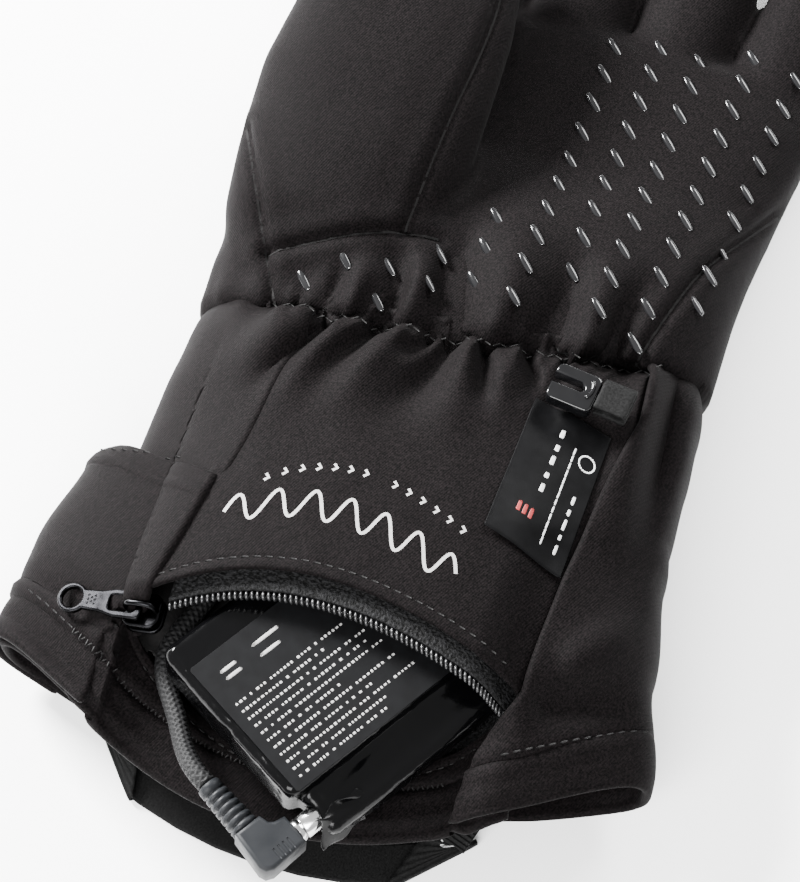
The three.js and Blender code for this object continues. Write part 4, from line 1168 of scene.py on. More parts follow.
def make_plug(matrix):
    z = BOARD_THICK / 2
    face = BOARD_INSET - BARREL_SHOWN
    seat = face - CLEARANCE
    leg_end = seat - PLUG_WIDTH * 1.4
    right = BOARD_MIDDLE + PLUG_WIDTH / 2
    left = right - PLUG_LEG
    outline = [
        (right - 2.4, leg_end),
        (right - 0.8, leg_end + 0.6),
        (right, leg_end + 2.4),
        (right - 0.5, seat),
        (right - PLUG_WIDTH + 0.5, seat),
        (right - PLUG_WIDTH, leg_end + PLUG_WIDTH + 0.8),
        (right - PLUG_WIDTH - 0.8, leg_end + PLUG_WIDTH - 0.2),
        (left, leg_end + PLUG_WIDTH - 0.8),
        (left, leg_end + 0.8),
    ]
    base = moved(matrix, 0, 0, z - PLUG_HEIGHT / 2)
    body = plate("plug_housing", outline, PLUG_HEIGHT, 0.9, base, "rubber")
    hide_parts("plug_body")
    profile = [
        (face - 0.2, 0.1),
        (face - 0.2, BARREL_RADIUS - 0.15),
        (face, BARREL_RADIUS),
        (face + 1.2, BARREL_RADIUS),
        (face + 1.35, BARREL_GROOVE),
        (face + 1.7, BARREL_GROOVE),
        (face + 1.85, BARREL_RADIUS),
        (face + 9.5, BARREL_RADIUS),
        (face + 9.9, BARREL_RADIUS - 0.25),
        (face + 9.9, 0.1),
    ]
    axis = moved(matrix, BOARD_MIDDLE, 0, z)
    barrel = lathe("plug_barrel_ring", profile, axis, "bright metal", along="Y")
    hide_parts("plug_barrel")
    grip = []
    for i in range(GRIP_LINES):
        place = (right - 2.2, face - 3.2 - GRIP_LINE_PITCH * i, z + PLUG_HEIGHT / 2)
        grip.append(mark_on(matrix, place, (1, 0, 0), GRIP_LINE_SIZE))
    grips = scatter("plug_grip_lines", pill(8, 6, 0.5), grip, "rubber")
    return [body, barrel, grips, make_relief(matrix, left, leg_end, z)]


def make_relief(matrix, left, leg_end, z):
    """The ribbed sleeve on the lead, with its slots between the ribs."""
    start = left - CLEARANCE
    end = start - RELIEF_LENGTH
    profile = [(start, 0.1), (start, RELIEF_RADIUS)]
    for i in range(RELIEF_RIBS):
        place = start - 1.2 - i * (RELIEF_LENGTH - 2.2) / RELIEF_RIBS
        radius = lerp(RELIEF_RADIUS, RELIEF_TIP_RADIUS, i / RELIEF_RIBS)
        groove = radius - RIB_DEPTH
        profile += [(place, radius), (place - 0.12, groove), (place - 0.68, groove), (place - 0.8, radius)]
    profile += [(end + 0.2, RELIEF_TIP_RADIUS), (end, RELIEF_TIP_RADIUS - 0.15), (end, 0.1)]
    axis = moved(matrix, 0, leg_end + PLUG_WIDTH / 2, z)
    relief = lathe("relief_sleeve", profile[::-1], axis, "rubber")
    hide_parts("strain_relief")
    return relief


def make_pack(matrix):
    """The pack in its film: softened cells, a wrinkled flap over the board, and its welded ends."""
    mesh = remeshed(["battery_pack"], SMALL_VOXEL, 3)
    points = placed(mesh_points(mesh), matrix.inverted())
    normals = mesh_normals(mesh) @ np.array(matrix.to_3x3())
    x, y, z = points.T
    edge = 0.35 * noise(x * 0.4, y, 9, 21) + 0.2 * noise(x, y, 4, 22)
    over_board = smooth((x - PACK_WIDTH + 4) / 6)
    wrinkles = 0.5 * noise(x, y * 0.4 + x, 7, 23) + 0.3 * np.abs(noise(x * 0.5, y, 5, 24))
    ends = hump((y - 1) / 4) + hump((y - PACK_LENGTH) / 4)
    seam = -0.3 * hump((x - PACK_WIDTH / 2 - 1) / 1.4)
    relief = edge * (0.25 + 0.6 * ends) + over_board * wrinkles * 0.9 + seam
    set_points(mesh, placed(points + normals * relief[:, None], matrix))
    pack = add_object("pack_film", mesh, "shrink film")
    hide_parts("battery_pack")


def make_flap(matrix):
    """The film's loose end, pinched and standing past the pack's end beside the jack."""
    v, u = unit_grid(*FLAP_GRID)
    x = lerp(PACK_WIDTH + 6.4, PACK_WIDTH + 11.4, u) + 0.5 * np.sin(9 * v + 3 * u)
    y = lerp(13, 1.5, v) + 1.1 * np.sin(5 * u)
    z = lerp(BOARD_THICK + 0.7, 2.5, u**1.3) + 0.7 * np.sin(7 * v + 5 * u) * v + 0.5
    top = placed(np.stack([x, y, z], -1).reshape(-1, 3), matrix).reshape(*FLAP_GRID, 3)
    shell("film_flap", top, FLAP_WALL, "shrink film", flip=True)


def make_label(matrix):
    """The label's sheet, with rows of short marks and a few bars for its print."""
    base = moved(matrix, LABEL_MARGIN + LABEL_WIDTH / 2, 2 + LABEL_LENGTH / 2, PACK_THICK + LABEL_LIFT)
    outline = rounded_box(LABEL_WIDTH, LABEL_LENGTH, 0.8)
    label = plate("label_sheet", outline, LABEL_THICK, 0.05, base, "label")
    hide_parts("battery_label")
    random = np.random.default_rng(6)
    places = []
    surface = PACK_THICK + 0.74
    for line in range(LABEL_LINES):
        x = LABEL_MARGIN + 13 + LABEL_LINE_PITCH * line
        y = 4.5
        end = random.uniform(24, 44)
        while y < end:
            mark = random.uniform(0.5, 0.9)
            size = (mark, random.uniform(0.5, 0.75), 0.04)
            places.append(mark_on(matrix, (x, y + mark / 2, surface), (0, 1, 0), size))
            y += mark + (1.2 if random.uniform() < 0.2 else 0.35)
    for bar in LABEL_BARS:
        size = (bar["length"], 0.9, 0.05)
        places.append(mark_on(matrix, (bar["x"], bar["y"], surface), (0, 1, 0), size))
    scatter("label_marks", pill(6, 6, 0.3), places, "print", "label")


# Cuff

def plan_grid(size, left, right, start, end):
    """A grid of places in plan between two side edges over y and two end edges over x."""
    v, u = unit_grid(*size)
    x = lerp(-45.0, 45.0, u)
    for _ in range(4):
        y = lerp(start(x), end(x), v)
        x = lerp(left(y), right(y), u)
    return x, lerp(start(x), end(x), v)


def left_edge(y):
    return edge_at(PANEL_LEFT, y)


def right_edge(y):
    return edge_at(PANEL_RIGHT, y)


def under_side_panel(x, y):
    """How far the pocket's panel and the strip dip where the side panel laps over them."""
    return PANEL_LAP * smooth((x - right_edge(y) + 1) / 3)


def hem_of(x):
    half = np.where(x < HEM_SHIFT, cuff_half("left", 1.0), cuff_half("right", 1.0))
    across = np.clip((x - HEM_SHIFT) / half, -0.99, 0.99)
    return hem_y(across, HEM_BULGE_FRONT * across_to_up(across))


def make_front_panel():
    """The pocket's panel, from the wrist's elastic to the zip."""
    x, y = plan_grid(
        PANEL_GRID,
        left_edge,
        lambda y: right_edge(y) + 4,
        lambda x: wrist_line(x) + WRIST_TUCK,
        upper_lip,
    )
    from_lip = y - upper_lip(x)
    edge = x - left_edge(y)
    roll = -EDGE_ROLL * (1 - smooth(edge / 2.6)) + PANEL_LIFT
    z = cuff_top(x, y) + panel_relief(x, y) + lip_relief(from_lip) + roll
    z += 0.25 * hump((edge - 3.2) / 1.4) - under_side_panel(x, y)
    top = np.stack([x, y, z], -1)
    thin = lerp(LIP_WALL, PANEL_WALL, smooth(from_lip / LIP_REACH))
    panel = shell("front_panel", top, thin, "softshell", flip=True)
    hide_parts("cuff")
    return panel


def make_strip():
    """The strip of the cuff's front between the pocket's mouth and the hem."""
    x, y = plan_grid(
        STRIP_GRID,
        lambda y: np.full_like(y, STRIP_LEFT),
        lambda y: right_edge(y) + 9,
        lower_lip,
        hem_of,
    )
    from_lip = lower_lip(x) - y
    relief = lip_relief(from_lip) + hem_relief(y - hem_of(x)) + 0.5 * noise(x, y, 22, 31)
    relief += STRIP_END_LIFT * (1 - smooth((x - STRIP_LEFT - 4) / 10))
    relief -= under_side_panel(x, y)
    top = np.stack([x, y, cuff_top(x, y) + relief], -1)
    thin = lerp(LIP_WALL, STRIP_WALL, smooth(from_lip / LIP_REACH))
    strip = shell("lower_strip", top, thin, "softshell", flip=True)
    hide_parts("cuff")
    return strip


def make_body():
    """The sides and the back of the cuff, from the right edge of the pocket's panel round to its left."""
    along, u = unit_grid(*BODY_GRID)
    left_lap = 6 - 12 * smooth((along - 0.6) / 0.2)
    right_end = ring_of_edge(right_edge, along, "right")
    left_end = ring_of_edge(left_edge, along, "under", left_lap)
    ring = lerp(right_end, 2 + left_end, u)
    points, up = cuff_ring(along, ring, left="under")
    points[..., 1] += WRIST_TUCK * (1 - along) ** 8
    x, y = points[..., 0], points[..., 1]
    inward = BODY_INSET * (1 - smooth(along * CUFF_LENGTH / 6))
    points[..., 0] -= inward * np.clip(x / 30, -1, 1)
    low = smooth((points[..., 2] - 1) / 8)
    relief = panel_relief(x, y) * smooth(2 * up) + hem_relief(y - y[-1:]) * low
    left_dip = BODY_LEFT_DIP + BODY_BAND_DIP * smooth((along - 0.5) / 0.1)
    lift = np.where(ring < 1, BODY_RIGHT_LIFT, 0.0) - np.where(ring > 2, left_dip, 0.0)
    points[..., 2] += relief + lift * smooth(2 * up)
    body = shell("side_and_back", points, PANEL_WALL, "softshell")
    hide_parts("cuff")
    return body


def band_edge(y):
    """The side band's inner edge, which moves out to the strip's end below the zip."""
    below_zip = smooth((mouth_line(-52) - y) / 6)
    return lerp(left_edge(y) + 4, STRIP_LEFT + 4, below_zip)


def make_side_band():
    """The wide panel over the cuff's thumb side."""
    v, u = unit_grid(*BAND_GRID)
    along = lerp(BAND_START, 1.0, v)
    ring = lerp(BAND_RING_START, 2 + ring_of_edge(band_edge, along, "left"), u)
    points, _ = cuff_ring(along, ring)
    from_top = (along - BAND_START) * CUFF_LENGTH
    relief = 0.5 * noise(points[..., 0], points[..., 1], 30, 41) - 0.35 * hump((from_top - 3.5) / 0.6)
    relief += hem_relief((1 - along) * CUFF_LENGTH) + BAND_LIFT
    points += grid_normals(points) * (relief * smooth(points[..., 2] / 8))[..., None]
    band = shell("side_band", points, BAND_WALL, "softshell")
    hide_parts("cuff_side_band")
    return band


def make_lining():
    lining = add_object("pocket_pouch", remeshed(["pocket_lining"], SMALL_VOXEL, 6), "inside")
    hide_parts("pocket_lining")


# Hand

def facing_up(mesh, points, normals):
    """How far each point of a mesh faces up, and 0 where something of the mesh lies over it."""
    tree = BVHTree.FromPolygons([v.co for v in mesh.vertices], [p.vertices[:] for p in mesh.polygons])
    share = smooth((normals[:, 2] - 0.05) / 0.5)
    for i in np.nonzero(share > 0)[0]:
        start = Vector(points[i] * MM) + Vector((0, 0, CLEAR_OF_CLOTH * MM))
        if tree.ray_cast(start, Vector((0, 0, 1)))[0] is not None:
            share[i] = 0
    return share


def seam_relief(x, y, line, depth=1.3, width=0.9, puff=0.5):
    away = to_line(x, y, line)
    return -depth * hump(away / width) + puff * hump((away - 3.2) / 2.2)


def make_hand():
    mesh = remeshed(HAND_NODES, HAND_VOXEL, HAND_SMOOTHING)
    points, normals = mesh_points(mesh), mesh_normals(mesh)
    x, y = points[:, 0], points[:, 1]
    relief = fold_relief(x, y, PALM_FOLDS) + shirring(x, y) + 0.5 * noise(x, y, 36, 51)
    relief += seam_relief(x, y, PALM_SEAM, 1.6)
    relief += seam_relief(x, y, THUMB_FRONT_SEAM, 1.4) + seam_relief(x, y, THUMB_RIGHT_SEAM, 1.5)
    relief += seam_relief(x, y, THUMB_LEFT_SEAM, 1.2)
    relief *= facing_up(mesh, points, normals)
    points += normals * relief[:, None]
    wrist = wrist_line(x)
    points[:, 1] -= HAND_TUCK * (1 - smooth((y - wrist) / 8))
    inward = HAND_DIP * smooth((wrist + 1.4 - points[:, 1]) / 3.6)
    points[:, 0] -= 0.5 * inward * np.clip(x / 30, -1, 1)
    points[:, 2] -= inward * np.clip((points[:, 2] - CUFF_HEIGHT / 2) / 8, -0.5, 1)
    points[:, 2] = np.maximum(points[:, 2], GROUND_GAP)
    set_points(mesh, points)
    hand = add_object("hand_padding", mesh, "softshell")
    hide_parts(*HAND_NODES)
    return hand


def make_dashes(tree):
    places = []
    turn = math.radians(DASH_TURN)
    direction = Vector((-math.sin(turn), math.cos(turn), 0))
    for number, column in enumerate(DASH_COLUMNS):
        y = column["start"] + (number % 2) * DASH_PITCH / 2
        while y < column["end"]:
            x = column["x"] + column["lean"] * y
            centre, normal = drop(tree, x, y)
            if centre is not None and normal.z > 0.25:
                lift = normal * 0.08
                places.append((centre + lift, direction, normal, (DASH_LENGTH, DASH_WIDTH, DASH_HEIGHT)))
            y += DASH_PITCH
    scatter("grip_dashes", pill(12, 12, 0.65), places, "silicone")


# Zip

def tape_line(lip, into, rows, columns):
    start = MOUTH_X - MOUTH_LENGTH / 2 + SLIDER_LENGTH + 2 * CLEARANCE
    run = MOUTH_LENGTH - SLIDER_LENGTH - 0.5 * TAPE_WIDTH
    x = np.linspace(start, start + run, rows)[:, None] * np.ones(columns)
    edge = lip(x)
    share = np.linspace(-TAPE_HIDDEN, 1 - TAPE_HIDDEN, columns)
    y = edge + into * TAPE_WIDTH * share
    hidden = cuff_top(x, edge - into * TAPE_WIDTH * TAPE_HIDDEN, WALL)
    z = np.minimum(hidden, cuff_top(x, edge, WALL)) - 3 * CLEARANCE
    z = z - (0.6 if into < 0 else 0.2) * (share + TAPE_HIDDEN)
    return x, y, z


def make_zip_side(name, lip, into):
    """One side of the zip: its tape, and the coil along the tape's edge."""
    x, y, z = tape_line(lip, into, *TAPE_GRID)
    top = np.stack([x, y, z], -1)
    tape = shell("tape_" + name, top, TAPE, "zip tape", flip=into < 0)
    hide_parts("zip_tape_" + name)
    line = np.stack([x[:, -1], y[:, -1] + into * (COIL / 2 + CLEARANCE), z[:, -1] - TAPE / 2], -1)
    length = lengths_along(line)
    turns = int(length[-1] / COIL_PITCH)
    place = np.linspace(0, length[-1], turns * COIL_STEPS)
    centre = np.stack([np.interp(place, length, line[:, i]) for i in range(3)], -1)
    angle = 2 * math.pi * place / COIL_PITCH
    centre[:, 1] += (COIL / 2 - 0.1) * np.cos(angle)
    centre[:, 2] += (COIL / 2 - 0.25) * np.sin(angle)
    coil = tube("coil_" + name, centre, COIL_WIRE, 6, "coil")
    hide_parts("zip_coil_" + name)


def slider_matrix():
    joint = frame["joints"][0]
    turn = Matrix.Rotation(math.atan(MOUTH_SLANT), 4, "Z")
    lie = Matrix.Rotation(-math.radians(PULLER_LIE), 4, "Y")
    pivot = Vector(joint["pos_m"]) / MM
    height = SLIDER_HEIGHT + 2 * CLEARANCE + PULLER_THICK / 2
    return Matrix.Translation(pivot) @ turn @ lie @ Matrix.Translation((0, 0, -height))


def make_slider(matrix):
    """The slider's two wings, the post between them, and the bridge that holds the puller."""
    wing = rounded_box(SLIDER_LENGTH, SLIDER_WIDTH, 2.6)
    bottom = plate("slider_bottom", wing, 1.3, 0.4, matrix, "gunmetal")
    lifted = moved(matrix, 0, 0, SLIDER_HEIGHT - 1.5)
    plate("slider_top", wing, 1.5, 0.5, lifted, "gunmetal")
    middle = moved(matrix, 0, 0, 1.0)
    plate("slider_post", rounded_box(3, 2.6, 1.0, (2.4, 0)), 2.0, 0.2, middle, "gunmetal")
    reach = SLIDER_LENGTH * 0.36 + 0.3
    foot = SLIDER_HEIGHT - BRIDGE_SEAT
    rise = BRIDGE_RISE + BRIDGE_SEAT
    arch = []
    for i in range(25):
        turn = math.pi * i / 24
        x = -reach * np.sign(math.cos(turn)) * abs(math.cos(turn)) ** 0.6
        arch.append((x, 0, foot + rise * math.sin(turn) ** 0.6))
    tube("slider_bridge", placed(arch, matrix), BRIDGE_RADIUS, 16, "gunmetal")
    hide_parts("zip_slider")


def make_puller(matrix):
    """The puller: a bar under the bridge, two arms, a neck and a ring, with dots pressed into the neck."""
    window = SLIDER_LENGTH * 0.72
    bar = PULLER_THICK
    ring_x = -(PULLER_LENGTH - RING_OUTER)
    width = SLIDER_WIDTH * 0.4
    neck = 2.3
    corner = 1.2
    outline = []
    for sign in (1, -1):
        arc = []
        for t in np.linspace(0, QUARTER, 6):
            x = bar / 2 - corner + corner * math.sin(t)
            arc.append((x, sign * (width - corner + corner * math.cos(t))))
        outline += arc[::sign]
    shoulder = -window - bar - 1.5
    turn = math.asin(min(1, neck / RING_OUTER))
    ring = []
    for t in np.linspace(-turn, -2 * math.pi + turn, 30):
        ring.append((ring_x + RING_OUTER * math.cos(t), RING_OUTER * math.sin(t)))
    outline += [(-window * 0.9, -width), (shoulder, -neck - 0.2), *ring]
    outline += [(shoulder, neck + 0.2), (-window * 0.9, width)]
    hole = circle(RING_HOLE, (ring_x, 0))
    inner = rounded_box(window, 2 * width - 2 * bar, 0.8, (-window / 2 - bar / 2, 0))
    base = moved(matrix, 0, 0, SLIDER_HEIGHT + 2 * CLEARANCE)
    puller = plate("puller_plate", outline, PULLER_THICK, 0.4, base, "gunmetal", [hole, inner], "puller")
    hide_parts("zip_puller")
    dots = []
    for row in range(3):
        for column in range(3 - row % 2):
            x = ring_x + RING_OUTER + 0.4 + row * 0.8
            y = (column - (2 - row % 2) / 2) * 1.0
            dots.append(mark_on(base, (x, y, PULLER_THICK), (1, 0, 0), (0.6, 0.6, 0.4)))
    scatter("puller_dots", pill(8, 6, 1.0), dots, "gunmetal", body="puller")


# Hang loop, tag and hook

def ribbon_runs():
    """The ribbon's sag between its two folds, and the far ends of its two sewn tails."""
    hem = WRIST_Y - CUFF_LENGTH - HEM_BULGE_BACK
    left = np.array([LOOP_LEFT, hem - LOOP_LEFT_DROP])
    right = np.array([LOOP_RIGHT, hem - LOOP_RIGHT_DROP])
    share = np.linspace(0, 1, 9)[:, None]
    middle = lerp(left, right, share)
    middle[:, 1:] -= LOOP_SAG * 4 * share * (1 - share)
    left_end = np.array([LOOP_LEFT_END, left[1] + LOOP_TAIL])
    return left_end, middle, np.array([LOOP_RIGHT_END, right[1] + LOOP_TAIL])


def tail_lift(point, fold_y, low):
    side = "left" if point[0] < HEM_SHIFT else "right"
    across = (point[0] - HEM_SHIFT) / cuff_half(side, np.array(1.0))
    edge = hem_y(across, HEM_BULGE_BACK) - 1
    return lerp(low, WALL + 5 * CLEARANCE, smooth((point[1] - fold_y) / (edge - fold_y)))


def ribbon_lines():
    """The ribbon's cross lines: centre, half line across, lift, turn about its own line, fold's direction."""
    left_start, middle, right_end = ribbon_runs()
    half = RIBBON_WIDTH / 2
    top = 2 * RIBBON_FOLD_RADIUS
    lines = []

    def across_of(direction):
        return np.array([-direction[1], direction[0]])

    def straight(point, direction, lift, face):
        turn = 0 if face > 0 else math.pi
        lines.append((point, across_of(direction) * half * face, lift, turn, np.zeros(2)))

    def fold(point, before, after, lift, face):
        along = unit(before + after)
        across = across_of(before) * face
        reach = along * half / np.dot(along, across)
        out = unit(before - after)
        for turn in np.linspace(0, math.pi, 9):
            drop_by = RIBBON_FOLD_RADIUS * (1 - math.cos(turn))
            shifted = point + out * RIBBON_FOLD_RADIUS * math.sin(turn)
            height = lift - drop_by if face > 0 else lift + drop_by
            lines.append((shifted, reach, height, turn if face > 0 else math.pi - turn, out))

    inwards = unit(middle[0] - left_start)
    outwards = unit(right_end - middle[-1])
    for share in np.arange(7) / 8:
        point = lerp(left_start, middle[0], share)
        straight(point, inwards, tail_lift(point, middle[0][1], top), 1)
    fold(middle[0], inwards, unit(middle[1] - middle[0]), top, 1)
    for i in range(1, len(middle) - 1):
        straight(middle[i], unit(middle[i + 1] - middle[i - 1]), 0, -1)
    fold(middle[-1], unit(middle[-1] - middle[-2]), outwards, 0, -1)
    for share in np.arange(2, 9) / 8:
        point = lerp(middle[-1], right_end, share)
        straight(point, outwards, tail_lift(point, middle[-1][1], top), 1)
    return lines


def make_hang_loop():
    """The ribbon as one ribbed band through its cross lines."""
    lines = ribbon_lines()
    centre = np.array([[*point, lift + RIBBON / 2] for point, _, lift, _, _ in lines])
    across = np.array([[*half, 0] for _, half, _, _, _ in lines])
    normal = np.array([[*(out * math.sin(turn)), math.cos(turn)] for _, _, _, turn, out in lines])
    steps = np.linspace(0, len(lines) - 1, RIBBON_STEPS)
    known = np.arange(len(lines))

    def between(values):
        return np.stack([np.interp(steps, known, values[:, i]) for i in range(3)], -1)

    centre, across, normal = between(centre), between(across), unit(between(normal))
    ribs = RIBBON_RIB_DEPTH * np.cos(2 * math.pi * lengths_along(centre) / RIBBON_RIB)
    share = np.linspace(-1, 1, RIBBON_COLUMNS)
    body = centre[:, None] + across[:, None] * share[None, :, None]
    lift = (RIBBON / 2 - 0.15 + ribs)[:, None, None] * normal[:, None]
    edge = (1 - 0.35 * np.abs(share) ** 8)[None, :, None]
    top, bottom = body + lift * edge, body - lift * edge
    points = np.concatenate([top, bottom[:, ::-1]], axis=1).reshape(-1, 3)
    around = 2 * RIBBON_COLUMNS
    faces = grid_faces(RIBBON_STEPS, around, wrap=True)
    first = list(range(around))
    faces += [first, [(RIBBON_STEPS - 1) * around + i for i in first][::-1]]
    points[:, 2] = np.maximum(points[:, 2], RIBBON_GROUND_GAP)
    ribbon = add_mesh("grosgrain_loop", points, faces, "ribbon")
    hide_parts("hang_loop")
    return ribbon


def tag_point(across, down):
    turn = math.radians(TAG_TURN)
    x = TAG_CORNER[0] + across * math.cos(turn) - down * math.sin(-turn) * 0.35
    y = TAG_CORNER[1] + across * math.sin(turn) * 1.6 - down * math.cos(turn)
    return x, y


def make_tag(tree):
    """The satin tag, laid over the pocket's panel and rising a little towards its loose end."""
    v, u = unit_grid(*TAG_GRID)
    x, y = tag_point(u * TAG_WIDTH, v * TAG_LENGTH)
    z = np.zeros_like(x)
    for place in np.ndindex(*TAG_GRID):
        z[place] = drop(tree, x[place], y[place])[0].z
    kernel = np.ones(9) / 9
    smoothed = np.pad(z, 4, mode="edge")
    for axis in (0, 1):
        smoothed = np.apply_along_axis(lambda line: np.convolve(line, kernel, "valid"), axis, smoothed)
    z = np.maximum(smoothed, z) + 0.5 + 0.7 * v**2 + 0.4 * np.sin(4 * u + 2 * v) * v
    top = np.stack([x, y, z], -1)
    tag = shell("satin_tag", top, TAG_WALL, "satin", flip=True)
    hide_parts("woven_tag")
    return tag


def make_tag_print(tree):
    """A plain line, ring, bar and dashes on the tag."""
    marks = {"white": [], "red": []}

    def mark(color, across, down, length, width, turn=0.0):
        x, y = tag_point(across, down)
        centre, normal = drop(tree, x, y)
        direction = turned(TAG_TURN * 0.6 + turn) @ Vector((0, 1, 0))
        marks[color].append((centre + normal * 0.03, direction, normal, (length, width, 0.06)))

    for step in range(13):
        mark("white", 12.5, 8 + 2.0 * step, 2.1, 0.45)
    for step, length in enumerate((3.0, 2.2, 3.6, 1.8, 3.2)):
        mark("white", 16, 19 + 3.2 * step, length * 0.8, 0.8)
        mark("white", 8.6, 6 + 3.8 * step, length, 1.1)
    for step in range(20):
        turn = 2 * math.pi * step / 20
        mark("white", 16 + 1.9 * math.cos(turn), 9 + 1.9 * math.sin(turn), 0.8, 0.4, -math.degrees(turn))
    for step in range(3):
        mark("red", 5.4 + 1.5 * step, 29, 4.4, 1.0)
    for color, places in marks.items():
        scatter("tag_print_" + color, pill(8, 8, 0.25), places, color + " print")


def make_hook():
    """The hook's block with its open slot and raised ridge, and the webbing roll behind it."""
    low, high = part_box("clip_hook")
    centre = (low + high) / 2 / MM
    base = Matrix.Translation((centre.x, centre.y, low.z / MM)) @ turned(TAG_TURN)
    side = -HOOK_WIDTH / 2
    slot_middle = (HOOK_SLOT_TOP + HOOK_SLOT_LOW) / 2
    outline = rounded_box(HOOK_WIDTH, HOOK_LENGTH, 1.6)
    notched = [(x, y) for x, y in outline if x > 0 or abs(y - slot_middle) > 1.4]
    slot = [
        (side, HOOK_SLOT_TOP),
        (HOOK_SLOT_END - 1.2, HOOK_SLOT_TOP),
        (HOOK_SLOT_END, HOOK_SLOT_TOP - 1.2),
        (HOOK_SLOT_END, HOOK_SLOT_LOW + 0.6),
        (HOOK_SLOT_END - 0.6, HOOK_SLOT_LOW),
        (side, HOOK_SLOT_LOW),
    ]
    index = max(i for i, (x, y) in enumerate(notched) if x < side + 0.05 and y > 0) + 1
    path = notched[:index] + slot + notched[index:]
    hook = plate("hook_block", path, HOOK_THICK, 0.55, base, "plastic")
    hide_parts("clip_hook")
    raised = moved(base, 0, 0, HOOK_THICK - 0.5)
    ridge = []
    for step in range(9):
        angle = math.radians(-60 + 15 * step)
        x = HOOK_SLOT_END + 0.3 + 1.6 * math.cos(angle)
        ridge.append((x, slot_middle + 2.6 * math.sin(angle), 0.5))
    tube("hook_ridge", placed(ridge, raised), 0.5, 10, "plastic")
    webbing = add_object("webbing_roll", remeshed(["clip_webbing"], WEBBING_VOXEL, 4), "ribbon")
    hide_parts("clip_webbing")


# Threads and prints

def band_top(x):
    return np.full_like(x, WRIST_Y - BAND_START * CUFF_LENGTH)


STITCH_ROWS = table(
    "line offset start end count pitch zigzag",
    (upper_lip, LIP_STITCH, -44, 36, 56, 2.7, 0),
    (lower_lip, -LIP_STITCH, -44, 36, 56, 2.7, 0),
    (band_top, -3.5, -70, -49, 16, 2.7, 0),
    (hem_of, HEM_BAND, -74, -60, 14, 2.7, 0),
    (hem_of, HEM_BAND, 40, 71, 26, 2.7, 0),
    (hem_of, HEM_BAND, -60, 30, 84, 1.1, 3.2),
    (wrist_line, -0.6, -42, 50, 60, 2.1, 1.2),
)


def make_stitching(tree):
    """Rows of thread over the cuff, plain or zigzag, each beside one of its lines in plan."""
    places = []
    for row in STITCH_ROWS:
        x = np.linspace(row["start"], row["end"], row["count"])
        line = np.stack([x, row["line"](x) + row["offset"]], -1)
        length = ZIGZAG_LENGTH if row["zigzag"] else STITCH_LENGTH
        places += stitches(tree, line, row["pitch"], length, row["zigzag"])
    scatter("stitches", STITCH, places, "thread")


def decal_line(tree, points, width):
    """A flat line of print that lies on the pieces of a tree: points and faces."""
    points = np.asarray(points, float)
    direction = unit(np.gradient(points, axis=0))
    across = np.stack([-direction[:, 1], direction[:, 0]], -1) * width / 2
    made = []
    for (x, y), (ax, ay) in zip(points, across):
        for share in (-1, 0, 1):
            centre, normal = drop(tree, x + ax * share, y + ay * share)
            made.append(made[-1] if centre is None else centre + normal * 0.05)
    return made, [face[::-1] for face in grid_faces(len(points), 3)]


def make_seams(tree):
    """Thin dark lines where the hand's panels meet."""
    decals = []
    for seam in (THUMB_FRONT_SEAM, THUMB_RIGHT_SEAM, THUMB_LEFT_SEAM, PALM_SEAM):
        line = resample(catmull(seam, 8), 0.8)[0]
        line = line[[drop(tree, x, y)[0] is not None for x, y in line]]
        decals.append(decal_line(tree, line, SEAM_WIDTH))
    add_mesh("hand_seams", *joined(decals), "inside", "softshell")


def print_arc(share, rise):
    x = lerp(PRINT_LEFT, PRINT_RIGHT, share)
    return x, PRINT_Y + rise + PRINT_ARCH * math.sin(math.pi * share**0.85)


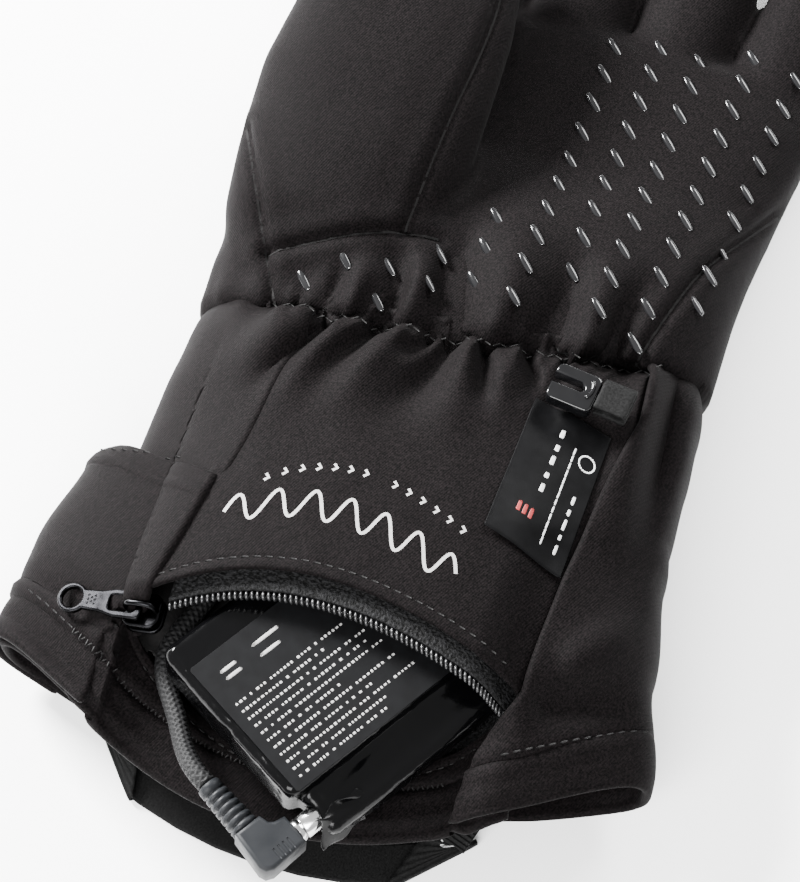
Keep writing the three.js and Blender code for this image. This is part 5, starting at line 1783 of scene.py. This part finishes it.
def make_print(tree):
    """A row of short marks over a wide wave, where the cuff carries its print."""
    decals = []
    for i in range(PRINT_MARKS):
        if i == PRINT_MARKS // 2:
            continue
        x, y = print_arc(i / (PRINT_MARKS - 1), 2.0)
        decals.append(decal_line(tree, [(x - 0.9, y - 0.9), (x, y), (x - 0.9, y + 0.9)], 0.7))
    wave = []
    for share in np.linspace(0, 1, 260):
        x, y = print_arc(share, -9.0)
        swing = WAVE_HEIGHT * math.sin(2 * math.pi * WAVE_COUNT * share)
        wave.append((x - 3 + 8 * (share - 0.5), y + swing))
    decals.append(decal_line(tree, wave, 0.8))
    add_mesh("cuff_print", *joined(decals), "print")


def make_ribbon_print(tree):
    """Plain chevrons on the ribbon's two tails."""
    places = []
    for tail in RIBBON_PRINTS:
        along = Vector((tail["lean_x"], 1.0, 0)).normalized()
        side = Vector((along.y, -along.x, 0))
        for i in range(tail["count"]):
            for lean in (1, -1):
                x = tail["x"] + along.x * i * -CHEVRON_PITCH + side.x * lean * CHEVRON_REACH
                y = tail["y"] + along.y * i * -CHEVRON_PITCH + side.y * lean * CHEVRON_REACH
                place, normal = drop(tree, x, y)
                if place is not None:
                    line = (side + along * lean * 0.8).normalized()
                    places.append((place + normal * 0.1, line, normal, (3.6, 1.0, 0.12)))
    scatter("ribbon_print", pill(8, 8, 0.25), places, "white print")


# Making

make_camera()
lead, lead_line = make_lead()
pack_frame = pack_matrix()
plug_pieces = make_plug(pack_frame)
grommet = frame["nodes"]["lead_grommet"]
grommet.data.materials.clear()
grommet.data.materials.append(MATERIALS["rubber"])
make_stage()
make_pack(pack_frame)
make_flap(pack_frame)
make_label(pack_frame)
front_panel = make_front_panel()
strip = make_strip()
body = make_body()
band = make_side_band()
make_lining()
hand = make_hand()
make_zip_side("upper", upper_lip, -1)
make_zip_side("lower", lower_lip, 1)
slider_frame = slider_matrix()
make_slider(slider_frame)
make_puller(slider_frame)
ribbon = make_hang_loop()
cuff_tree = tree_of(front_panel, strip, body, band, hand)
hand_tree = tree_of(hand)
make_dashes(hand_tree)
make_seams(hand_tree)
make_print(cuff_tree)
make_stitching(cuff_tree)
tag = make_tag(cuff_tree)
make_tag_print(tree_of(tag))
make_hook()
make_ribbon_print(tree_of(ribbon))
